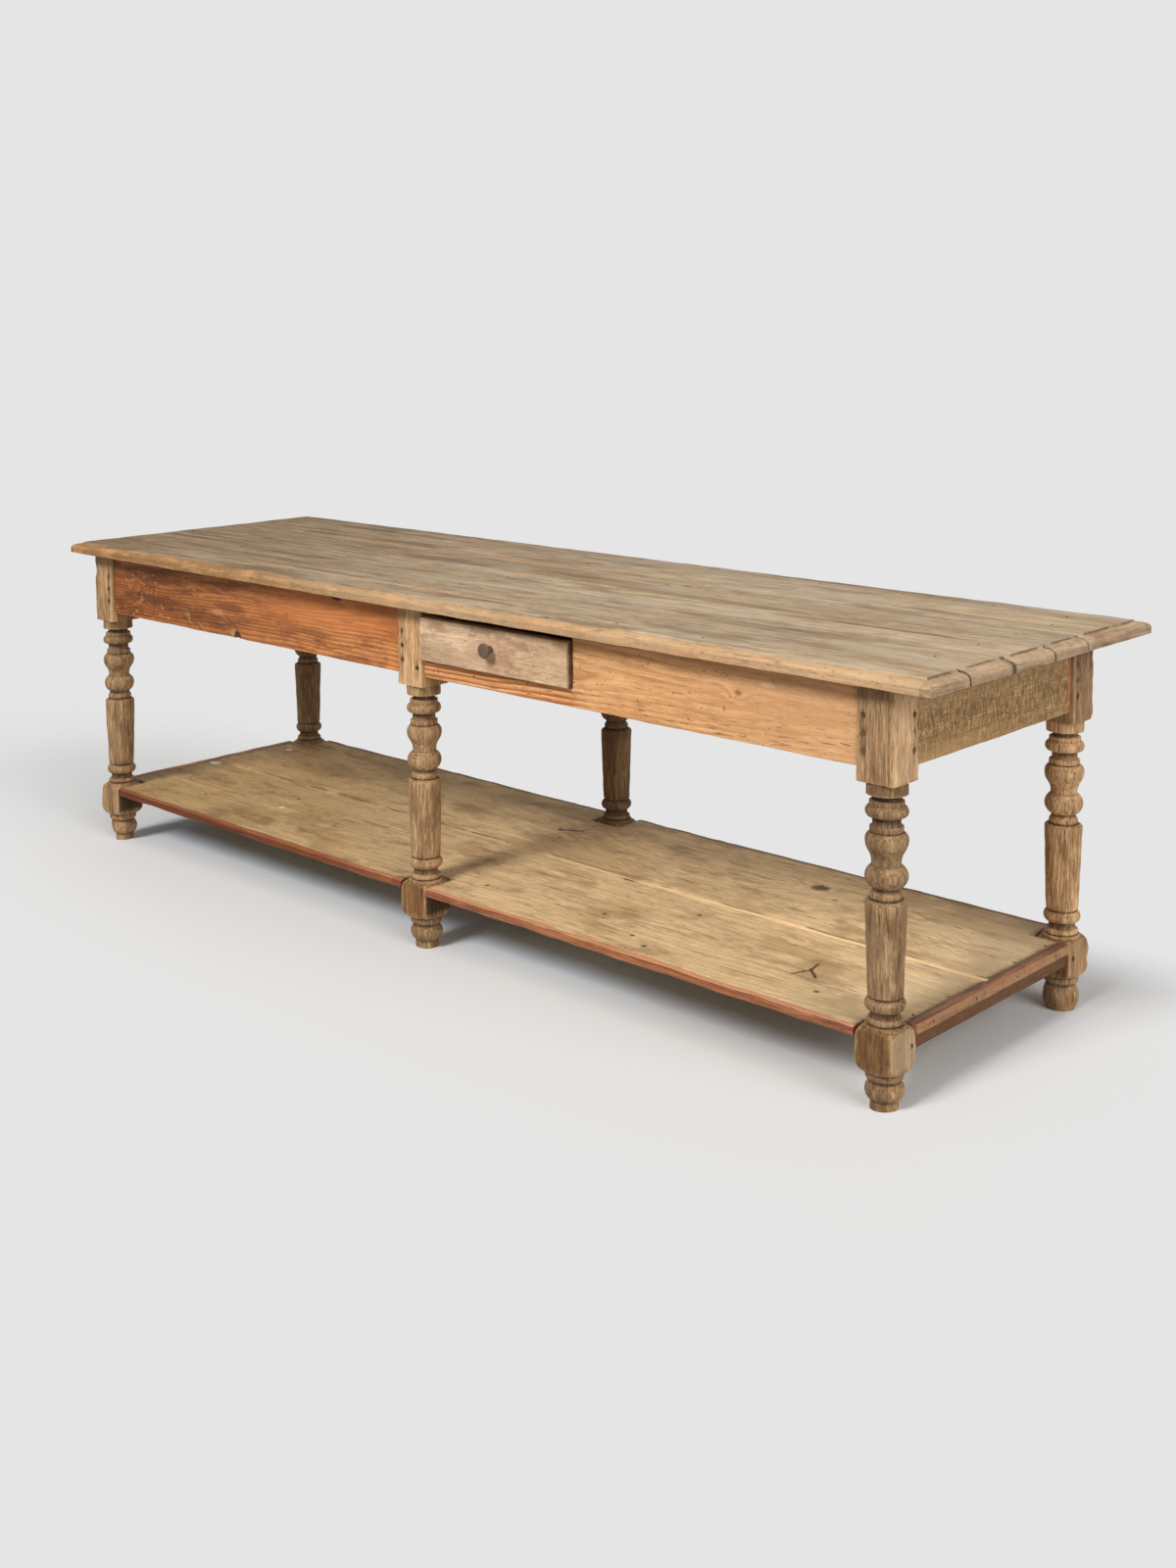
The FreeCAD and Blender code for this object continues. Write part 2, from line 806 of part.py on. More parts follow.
def save_runners():
    """The two runners with their guides, fitted between the front and back aprons."""
    back = -apron_inside
    low = drawer_rail_top - runner_height
    guide_top = drawer_rail_top + guide_height
    rail_side = leg_middle + apron_thickness / 2
    guide_left = drawer_left - guide_clearance
    guide_right = drawer_right + guide_clearance
    between = leg_back - half_block - runner_leg_gap
    ledge = box(rail_side, drawer_left + runner_ledge, apron_inside, back, low, drawer_rail_top)
    guide = box(rail_side, guide_left, -between, between, drawer_rail_top, guide_top)
    save(bore(ledge, leg_notches(runner_leg_gap)).fuse(guide).removeSplitter(), "drawer_runner_left")
    outer = guide_right + guide_thickness
    ledge = box(drawer_right - runner_ledge, outer, apron_inside, back, low, drawer_rail_top)
    guide = box(guide_right, outer, apron_inside, back, drawer_rail_top, guide_top)
    save(ledge.fuse(guide).removeSplitter(), "drawer_runner_right")


def save_stops():
    """A small block on each runner that the drawer sides come up against."""
    start = drawer_end + drawer_travel_in + running_clearance
    stops = []
    for x0 in (drawer_left, drawer_right - drawer_side_thickness):
        stops.append(box(x0, x0 + drawer_side_thickness, start, start + stop_length, drawer_rail_top,
                         drawer_rail_top + stop_height))
    save(Part.makeCompound(stops), "drawer_stops")


save_planks()
save_legs()
save_rails()
save_pegs()
save_shelf()
save_nails()
save_drawer()
save_runners()
save_stops()
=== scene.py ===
# %% [markdown]
# # A draper's table in old oak and pine
# A draper rolled cloth out on a table like this one: a long plank top on six turned legs, a shelf near
# the floor for the bolts, and one small drawer for chalk and shears. The measured solids of the table
# are loaded first, and everything below dresses them.

# %% Load the measured table
import math
import bmesh
import bpy
import numpy as np
from mathutils import Matrix, Vector


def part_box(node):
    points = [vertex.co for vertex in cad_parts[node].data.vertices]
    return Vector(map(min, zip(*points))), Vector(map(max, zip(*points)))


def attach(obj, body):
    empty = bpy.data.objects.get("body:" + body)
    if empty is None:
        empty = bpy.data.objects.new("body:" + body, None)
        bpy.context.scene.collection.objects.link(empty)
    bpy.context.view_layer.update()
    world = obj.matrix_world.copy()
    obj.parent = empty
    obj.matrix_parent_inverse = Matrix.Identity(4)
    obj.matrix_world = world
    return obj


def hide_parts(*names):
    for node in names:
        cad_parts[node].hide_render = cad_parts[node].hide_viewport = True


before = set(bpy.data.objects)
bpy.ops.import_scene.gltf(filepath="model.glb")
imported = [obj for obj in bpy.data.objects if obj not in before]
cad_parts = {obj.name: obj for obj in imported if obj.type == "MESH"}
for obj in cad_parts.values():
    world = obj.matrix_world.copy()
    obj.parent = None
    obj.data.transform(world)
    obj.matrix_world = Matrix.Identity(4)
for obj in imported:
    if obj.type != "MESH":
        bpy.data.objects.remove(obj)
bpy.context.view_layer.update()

# %% [markdown]
# ## The camera
# The photograph keeps every leg upright, which a tilted camera would not do, so the picture was taken
# with a lens shifted down. Blender's camera has the same control: shift_y, given as a part of the longer
# side of the frame. Where the camera stands and turns was worked out from the feet and corners.

# %% Stand the camera where the photographer stood
CAMERA_PLACE = Vector((2.968, -2.971, 1.442))
CAMERA_HEADING = math.radians(-43.19)
CAMERA_DIP = math.radians(4.91)
CAMERA_ROLL = math.radians(0.30)
FRAME_HEIGHT_PX = 1600
FOCAL_PX = 1871.5
AXIS_ROW_PX = 462.4

forward = Vector((math.sin(CAMERA_HEADING) * math.cos(CAMERA_DIP),
                  math.cos(CAMERA_HEADING) * math.cos(CAMERA_DIP), -math.sin(CAMERA_DIP)))
level_right = Vector((math.cos(CAMERA_HEADING), -math.sin(CAMERA_HEADING), 0.0))
level_down = forward.cross(level_right)
right = math.cos(CAMERA_ROLL) * level_right + math.sin(CAMERA_ROLL) * level_down
up = math.sin(CAMERA_ROLL) * level_right - math.cos(CAMERA_ROLL) * level_down

lens = bpy.data.cameras.new("camera")
lens.sensor_fit = "VERTICAL"
lens.sensor_height = 36.0
lens.lens = FOCAL_PX / FRAME_HEIGHT_PX * lens.sensor_height
lens.shift_y = (AXIS_ROW_PX - FRAME_HEIGHT_PX / 2) / FRAME_HEIGHT_PX
camera = bpy.data.objects.new("camera", lens)
turned = Matrix((right, up, -forward)).transposed().to_4x4()
camera.matrix_world = Matrix.Translation(CAMERA_PLACE) @ turned
bpy.context.scene.collection.objects.link(camera)
bpy.context.scene.camera = camera
print("lens", round(lens.lens, 2), "mm, shift", round(lens.shift_y, 3))

# %% [markdown]
# ## Shader maths in plain Python
# A finish is a graph of nodes, and most of them only add or multiply. Field wraps one socket, so that
# `1 - late` or `streak * 0.4` adds the Math nodes by itself. Every other node is made by Finish.make,
# which sets the node up first and then fills or links its sockets.

# %% Field and Finish
class Field:
    """A value that changes over a surface. Arithmetic on it adds Math nodes."""

    def __init__(self, finish, socket):
        self.finish = finish
        self.socket = socket

    def maths(self, operation, *others):
        return self.finish.make("ShaderNodeMath", {"operation": operation}, dict(enumerate((self, *others))))

    def __add__(self, other):
        return self.maths("ADD", other)

    def __sub__(self, other):
        return self.maths("SUBTRACT", other)

    def __rsub__(self, other):
        return self.finish.make("ShaderNodeMath", {"operation": "SUBTRACT"}, {0: other, 1: self})

    def __mul__(self, other):
        return self.maths("MULTIPLY", other)

    def __truediv__(self, other):
        return self.maths("DIVIDE", other)

    def __pow__(self, other):
        return self.maths("POWER", other)

    __radd__ = __add__
    __rmul__ = __mul__

    def size(self):
        return self.maths("ABSOLUTE")

    def part_turn(self):
        return self.maths("FRACT")

    def most(self, other):
        return self.maths("MAXIMUM", other)

    def bell(self):
        """One at zero, falling away on both sides."""
        return (self * self * -1.0).maths("EXPONENT")

    def rise(self, low, high):
        """A smooth step from 0 at low to 1 at high; low may be the larger."""
        settings = {"interpolation_type": "SMOOTHSTEP"}
        sockets = {"Value": self, "From Min": min(low, high), "From Max": max(low, high)}
        step = self.finish.make("ShaderNodeMapRange", settings, sockets)
        return step if low < high else 1 - step


class Finish:
    """The nodes of one material, or of the world."""

    def __init__(self, tree):
        self.tree = tree
        tree.nodes.clear()

    def make(self, kind, settings=None, sockets=None, output=0):
        node = self.tree.nodes.new(kind)
        for name, value in (settings or {}).items():
            setattr(node, name, value)
        for name, value in (sockets or {}).items():
            if isinstance(value, Field):
                self.tree.links.new(value.socket, node.inputs[name])
            else:
                node.inputs[name].default_value = value
        return Field(self, node.outputs[output]) if node.outputs else None


print("shader maths ready")

# %% [markdown]
# ## Colours and patterns
# Colours are written as a screen shows them, 0 to 255, and turned into linear light. Patterns are noise
# whose blots have a length, a width and a depth in metres, so that they can be held against real wood.

# %% Colours and patterns
def new_material(name):
    """A material, and the graph of its nodes."""
    material = bpy.data.materials.new(name)
    material.use_nodes = True
    return material, Finish(material.node_tree)


def tint(red, green, blue):
    """A colour as read off a screen, turned into the linear values that shaders use."""
    shares = [c / 255 for c in (red, green, blue)]
    return tuple(c / 12.92 if c < 0.043 else ((c + 0.055) / 1.055) ** 2.4 for c in shares) + (1.0,)


def speckle(finish, where, pitch, detail=2.0, roughness=0.5):
    """Noise whose blots are about pitch long, in metres, along each of the three ways."""
    rates = tuple(1.0 / p for p in pitch)
    scaled = finish.make("ShaderNodeVectorMath", {"operation": "MULTIPLY"}, {0: where, 1: rates})
    sockets = {"Vector": scaled, "Scale": 1.0, "Detail": detail, "Roughness": roughness}
    return finish.make("ShaderNodeTexNoise", {}, sockets)


def mixed(under, over, amount, blend="MIX"):
    """One colour laid over another; amount may vary over the surface."""
    finish = next(f for f in (under, over, amount) if isinstance(f, Field)).finish
    settings = {"data_type": "RGBA", "blend_type": blend}
    return finish.make("ShaderNodeMix", settings, {0: amount, 6: under, 7: over}, 2)


def shaded(colour, factor):
    """A colour made lighter or darker by a factor."""
    return colour.finish.make("ShaderNodeVectorMath", {"operation": "SCALE"}, {0: colour, "Scale": factor})


def split(vector):
    """The three parts of a vector."""
    return [vector.finish.make("ShaderNodeSeparateXYZ", {}, {0: vector}, way) for way in "XYZ"]


def apart(place, centre, reach):
    """Distance from a spot, counted in its own reach along x, y and z."""
    finish = place.finish
    moved = finish.make("ShaderNodeVectorMath", {"operation": "SUBTRACT"}, {0: place, 1: centre})
    scaled = finish.make("ShaderNodeVectorMath", {"operation": "DIVIDE"}, {0: moved, 1: reach})
    return finish.make("ShaderNodeVectorMath", {"operation": "LENGTH"}, {0: scaled}, "Value")


print("mid grey reads as", [round(c, 3) for c in tint(119, 119, 119)])

# %% [markdown]
# ## The studio
# The table stands in a pale studio whose floor and wall run into each other. The floor is a wide disc
# that fades into the world's colour well before the horizon, and it still takes the soft shadow. Camera,
# glossy and transmission rays see the pale backdrop; all other rays see the studio's light.

# %% Paint the world
BACKDROP = (0.785, 0.785, 0.783, 1.0)
LAMP_WHITE = (1.0, 0.985, 0.965, 1.0)
STUDIO_LIGHT = 0.28


def paint_world():
    world = bpy.data.worlds.new("studio")
    world.use_nodes = True
    finish = Finish(world.node_tree)
    rays = [finish.make("ShaderNodeLightPath", output=name)
            for name in ("Is Camera Ray", "Is Glossy Ray", "Is Transmission Ray")]
    light = finish.make("ShaderNodeBackground", {}, {"Color": LAMP_WHITE, "Strength": STUDIO_LIGHT})
    backdrop = finish.make("ShaderNodeBackground", {}, {"Color": BACKDROP, "Strength": 1.0})
    direct = rays[0].most(rays[1]).most(rays[2])
    seen = finish.make("ShaderNodeMixShader", {}, {0: direct, 1: light, 2: backdrop})
    finish.make("ShaderNodeOutputWorld", {}, {"Surface": seen})
    bpy.context.scene.world = world


paint_world()
print("world light", STUDIO_LIGHT)

# %% [markdown]
# ## The floor
# Under the table the floor is painted darker, because a real studio throws less light back there than this
# plain one. Far from the table, and behind it, the paint gives way to the backdrop.

# %% Lay the floor
FLOOR_RADIUS = 9.0
FLOOR_GREY = (0.735, 0.735, 0.735, 1.0)
SHADE_LEFT = (0.58, 0.66, 0.76, 1.0)
SHADE_RIGHT = (0.45, 0.475, 0.52, 1.0)
LENGTHENED = (3.1, 1.0, 1.0)


def floor_finish():
    material, finish = new_material("studio_floor")
    place = finish.make("ShaderNodeTexCoord", output="Object")
    aside, ahead, _ = split(place)
    under = aside.rise(-1.4, -1.1) * aside.rise(1.24, 0.9) * ahead.size().rise(0.36, 0.16)
    shade = mixed(SHADE_LEFT, SHADE_RIGHT, aside.rise(0.3, 0.8))
    paint = finish.make("ShaderNodeBsdfDiffuse", {}, {"Color": mixed(FLOOR_GREY, shade, under)})
    clear = finish.make("ShaderNodeBsdfTransparent")
    far = apart(place, (0.0, 0.0, 0.0), LENGTHENED).rise(0.46, 1.15)
    faded = far.most(ahead.rise(0.4, 0.75)).most(aside.rise(1.15, 1.5) * 0.6)
    seen = finish.make("ShaderNodeMixShader", {}, {0: faded, 1: paint, 2: clear})
    finish.make("ShaderNodeOutputMaterial", {}, {"Surface": seen})
    return material


def lay_floor():
    shape = bmesh.new()
    bmesh.ops.create_circle(shape, cap_ends=True, segments=128, radius=FLOOR_RADIUS)
    mesh = bpy.data.meshes.new("floor")
    shape.to_mesh(mesh)
    shape.free()
    mesh.materials.append(floor_finish())
    floor = bpy.data.objects.new("floor", mesh)
    bpy.context.scene.collection.objects.link(floor)


lay_floor()
print("floor", FLOOR_RADIUS, "m")

# %% [markdown]
# ## The lamps
# The shadow of the middle leg lies straight behind it on the shelf, so the main light comes from the
# front, high enough to reach under the top. A second light from the right lifts the end. Both are broad
# suns rather than near lamps, so that the floor stays even and the shadows stay soft.

# %% Hang the lamps
def broad_sun(name, toward, elevation, width, strength):
    """A sun seen at a heading (0 is the front, 90 the right) and an elevation, in degrees."""
    lamp = bpy.data.lights.new(name, "SUN")
    lamp.energy, lamp.angle = strength, math.radians(width)
    heading, height = math.radians(toward), math.radians(elevation)
    level = math.cos(height)
    source = Vector((math.sin(heading) * level, -math.cos(heading) * level, math.sin(height)))
    turn = source.to_track_quat("Z", "Y").to_matrix().to_4x4()
    holder = bpy.data.objects.new(name, lamp)
    holder.matrix_world = Matrix.Translation(source * 4) @ turn
    bpy.context.scene.collection.objects.link(holder)


broad_sun("front_light", -2, 41, 18, 2.55)
broad_sun("right_light", 82, 24, 46, 2.15)

# %% [markdown]
# ## Wood, as it grows
# Painting grain on each face would break at the corners. Real wood is solid, so the finish is solid too:
# rings stand round a pith line, and a board or a turning shows whatever it cuts through, arches on a flat
# board and ovals on a bead. Each mesh carries its own `grain` (along, across and into the wood, measured
# from its pith) and its own `age` (wear, grime with painted shade, and tone).

# %% The wood itself
# A knot longer than SWIRL is only a swirl in the grain, with no dark heart.
SWIRL = 0.04
NOISE_SPREAD = 3.6
NOISE_OFFSET = (3.1, 7.7, 5.3)
CRACK_BROWN = (38, 24, 14)
HEART_BROWN = (92, 58, 34)


class Wood:
    """A solid wood with its age on it. Marks may be added before it is closed into a material."""

    def __init__(self, slot, pale, dark, ring, contrast, waver=0.006, streak=0.2, pore=0.35, line=0.2,
                 knots=(), grain=None):
        self.material, finish = new_material(slot)
        self.finish = finish
        self.place = finish.make("ShaderNodeTexCoord", output="Object")
        self.x, self.y, self.z = split(self.place)
        if grain is None:
            self.grain = finish.make("ShaderNodeAttribute", {"attribute_name": "grain"}, output="Vector")
            age = finish.make("ShaderNodeAttribute", {"attribute_name": "age"}, output="Vector")
            self.wear, self.grime_and_shade, self.tone = split(age)
        else:
            self.grain = grain(finish, self.place)
        self.rings(ring, waver, knots)
        self.colour = mixed(tint(*pale), tint(*dark), self.late * contrast)
        self.fibres(streak, pore, line)
        self.cores()

    def cloud(self, pitch, detail=4.0, roughness=0.6, where=None):
        """Noise along the grain, spread to about -1 to 1, its blots pitch long."""
        return (speckle(self.finish, where or self.grain, pitch, detail, roughness) - 0.5) * NOISE_SPREAD

    def ragged(self, pitch, detail=3.0, roughness=0.6):
        """The same noise, alike in all ways and measured in the table's frame."""
        return self.cloud((pitch,) * 3, detail, roughness, self.place)

    def blots(self, pitch, low, high, detail=4.0, roughness=0.65, where=None):
        """Blots, in the table's frame or where: 0 while the noise is under low, 1 when it is over high."""
        return speckle(self.finish, where or self.place, pitch, detail, roughness).rise(low, high)

    def border(self, pitch, reach, start, end):
        """A ragged change along the table: 0 at x = start, 1 at x = end."""
        return (self.x + self.cloud(pitch) * reach).rise(start, end)

    def seam(self, y, pitch, waver, width):
        """A wavering line along the table: 1 on it, 0 away from it."""
        return ((self.y - y + self.ragged(pitch) * waver) / width).bell()

    def facing(self, axis):
        """How squarely the surface faces along an axis, signed."""
        return split(self.finish.make("ShaderNodeTexCoord", output="Normal"))[axis]

    def rings(self, ring, waver, knots):
        """Growth rings that darken slowly and start again quickly, bent round knots and swirls."""
        _, across, depth = split(self.grain)
        settings = {"operation": "ADD"}
        shifted = self.finish.make("ShaderNodeVectorMath", settings, {0: self.grain, 1: NOISE_OFFSET})
        across = across + self.cloud((0.9, 0.11, 0.11), 3.0, 0.5) * (waver * 0.6)
        depth = depth + self.cloud((0.7, 0.09, 0.09), 3.0, 0.5, shifted) * (waver * 0.6)
        radius = (across * across + depth * depth) ** 0.5
        self.hearts = []
        for centre, reach in knots:
            gap = apart(self.place, centre, reach)
            radius = radius + (gap * 0.55).bell() * (min(reach) * 1.6)
            if reach[0] < SWIRL:
                self.hearts.append(gap)
        years = radius / ring
        sockets = {"W": years * 0.21, "Scale": 1.0}
        uneven = self.finish.make("ShaderNodeTexNoise", {"noise_dimensions": "1D"}, sockets)
        season = (years + uneven * 2.4).part_turn()
        self.late = season.rise(0.15, 0.86) * season.rise(1.0, 0.9)

    def fibres(self, streak, pore, line):
        """Streaks of three widths, lines of open grain, and short dark pores, mostly in the early wood."""
        self.streaks = (self.cloud((0.9, 0.03, 0.03), 5.0) * 0.42 + self.cloud((0.3, 0.009, 0.009)) * 0.36
                        + self.cloud((0.12, 0.0034, 0.0034), 3.0) * 0.26)
        mottle = self.ragged(0.045, 6.0, 0.72)
        self.colour = shaded(self.colour, 1.0 + self.streaks * streak + mottle * (streak * 0.5))
        self.lines = self.blots((0.16, 0.0026, 0.0026), 0.52, 0.66, 3.0, 0.6, self.grain)
        self.colour = shaded(self.colour, 1.0 - self.lines * line)
        dots = self.blots((0.03, 0.0012, 0.0012), 0.55, 0.68, 2.0, 0.5, self.grain)
        self.pores = dots * (1.0 - self.late * 0.6)
        self.colour = shaded(self.colour, 1.0 - self.pores * pore)
        self.height = self.late * 0.35 + self.streaks * 0.15 - self.pores * 0.9 - self.lines * (line * 1.5)

    def cores(self):
        """The heart of each knot, in a dark ring."""
        for gap in self.hearts:
            uneven = gap + self.streaks * 0.12
            self.colour = shaded(self.colour, 1.0 - ((uneven - 0.55) * 5.0).bell() * 0.35)
            self.stain(HEART_BROWN, uneven.rise(0.6, 0.3) * 0.75)

    def stain(self, colour, amount, blend="MIX"):
        """Another colour laid over the wood."""
        self.colour = mixed(self.colour, tint(*colour), amount, blend)

    def wash(self, colour, amount):
        """A thin film that darkens the wood and lets its figure show."""
        self.stain(colour, amount, "MULTIPLY")

    def patina(self, colour, amount, pitch=(0.5, 0.14), low=0.45, high=0.62, detail=5.0):
        """Ragged clouds of another colour, as long and as wide as pitch says."""
        along, across = pitch
        self.stain(colour, self.blots((along, across, across), low, high, detail, 0.66, self.grain) * amount)

    def crack(self, amount):
        """A split in the wood: dark, and below the surface."""
        self.stain(CRACK_BROWN, amount)
        self.height = self.height - amount * 3.0

    def worms(self, amount, rarity):
        """Round holes, a couple of millimetres wide."""
        self.crack(self.blots((0.007, 0.007, 0.007), rarity, rarity + 0.03, 0.0, 0.5) * amount)

    def checks(self, amount, along=0.24, across=0.008):
        """Fine splits along the grain, let through in patches."""
        line = (speckle(self.finish, self.grain, (along, across, across)) - 0.5).size().rise(0.014, 0.0)
        patch = self.blots((0.16, 0.03, 0.03), 0.5, 0.62, 2.0, 0.5, self.grain)
        self.crack(line * patch * amount)

    def spot(self, centre, reach, colour, amount):
        """One mark at a known place, ragged at its edge."""
        gap = apart(self.place, centre, reach) + self.ragged(0.01, 3.0, 0.7) * 0.3
        self.stain(colour, gap.rise(1.1, 0.6) * amount)

    def marked(self, patinas=(), spots=()):
        """Lay on rows of patinas, and then rows of spots."""
        for row in patinas:
            self.patina(*row)
        for row in spots:
            self.spot(*row)

    def scratch(self, start, end, width, amount, axes=(0, 1)):
        """A crack between two places on a face, thinning at its ends; axes name the two ways of the face."""
        across, upward = ((self.x, self.y, self.z)[a] for a in axes)
        way = Vector(end) - Vector(start)
        length = way.length
        way /= length
        along = ((across - start[0]) * way.x + (upward - start[1]) * way.y) / length
        beside = (upward - start[1]) * way.x - (across - start[0]) * way.y
        beside = (beside + self.ragged(0.02) * width) / width
        self.crack(beside.size().rise(1.3, 0.6) * (along - 0.5).size().rise(0.5, 0.36) * amount)

    def weather(self, worn, dirt_and_shade, wear=0.8, grime_and_shade=0.8):
        """Bare arrises, and dark corners and hollows that are partly dirt and partly painted shade, broken
        up so that no line of either is even.
        """
        patchy = speckle(self.finish, self.place, (0.014, 0.014, 0.014), 5.0, 0.7) * 0.7 + 0.18
        self.colour = shaded(self.colour, 1.0 + self.tone)
        self.stain(worn, (self.wear * (patchy * 1.6)).rise(0.2, 1.0) * wear)
        self.stain(dirt_and_shade, (self.grime_and_shade * (patchy * 1.7)).rise(0.18, 1.0) * grime_and_shade)

    def close(self, rough=0.66, relief=0.0008):
        """Join the colour and the relief to a shader, and give the material."""
        finish = self.finish
        sockets = {"Strength": 0.6, "Distance": relief, "Height": self.height}
        normal = finish.make("ShaderNodeBump", {}, sockets)
        roughness = rough + self.pores * 0.12 - self.streaks * 0.05
        shader = finish.make("ShaderNodeBsdfPrincipled", {}, {
            "Base Color": self.colour, "Roughness": roughness, "Normal": normal, "Specular IOR Level": 0.2})
        finish.make("ShaderNodeOutputMaterial", {}, {"Surface": shader})
        return self.material


finishes = {}
print("wood ready")

# %% [markdown]
# ## Sawn boards with a history
# A cube scaled to a board looks new. These boards are built as a fine grid over the face, one skin for
# the front and one for the back, joined by a rim. The grid is closest near the edges, where the wood is
# rounded by hands and nicked by shears, and it leaves out cells where the joiner cut a notch.

# %% Smooth random waves
WAVES, WAVE_HEIGHT = 7, 2.6
SHARP_ANGLE = math.radians(38)


def wander(points, pitch, seed):
    """Waves through points in space, about -1 to 1, one every pitch metres or so."""
    dice = np.random.default_rng(seed)
    total = np.zeros(points.shape[:-1])
    for _ in range(WAVES):
        way = dice.normal(size=3)
        way *= 2 * math.pi / pitch * dice.uniform(0.6, 1.7) / np.linalg.norm(way)
        total += np.sin(points @ way + dice.uniform(0, 6.28))
    return total / WAVE_HEIGHT


def put(mesh, name, slot, body, *nodes):
    """Hang a finished mesh on its body, in place of the measured solid."""
    mesh.materials.append(finishes[slot])
    piece = bpy.data.objects.new(name, mesh)
    bpy.context.scene.collection.objects.link(piece)
    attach(piece, body)
    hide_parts(*nodes)
    return piece


def skin(name, points, faces, marks):
    """A mesh with smooth faces, sharp where it turns hard, and its marks stored on its points."""
    mesh = bpy.data.meshes.new(name)
    mesh.from_pydata([tuple(p) for p in points], [], faces)
    shape = bmesh.new()
    shape.from_mesh(mesh)
    bmesh.ops.recalc_face_normals(shape, faces=shape.faces)
    shape.to_mesh(mesh)
    shape.free()
    mesh.shade_smooth()
    mesh.set_sharp_from_angle(angle=SHARP_ANGLE)
    for mark, values in marks.items():
        layer = mesh.attributes.new(mark, "FLOAT_VECTOR", "POINT")
        layer.data.foreach_set("vector", np.asarray(values, np.float32).ravel())
    return mesh


print("a wave at the origin", float(wander(np.zeros((1, 3)), 0.1, 1)[0]))

# %% One board
NEAR = (0.0004, 0.0010, 0.0020, 0.0036, 0.0065, 0.012)
STEP_ACROSS = 0.016
RIM_SHARES = (0.06, 0.3, 0.7, 0.94)
TINY = 1e-6
# Pieces start this far apart along the grain, so that no two show the same figure.
BOARD_SHIFT, LEG_SHIFT = 3.7, 1.7


def ruled(low, high, step, near, marks=(), fine=()):
    """Grid lines from low to high, closer beside the ends and the marks, and at the fine places."""
    lines = list(np.linspace(low, high, max(2, round((high - low) / step) + 1))) + list(fine)
    for mark in (low, high, *marks):
        lines += [mark] + [mark + way * gap for gap in near for way in (-1, 1)]
    return np.unique(np.round([v for v in lines if low - 1e-7 <= v <= high + 1e-7], 4))


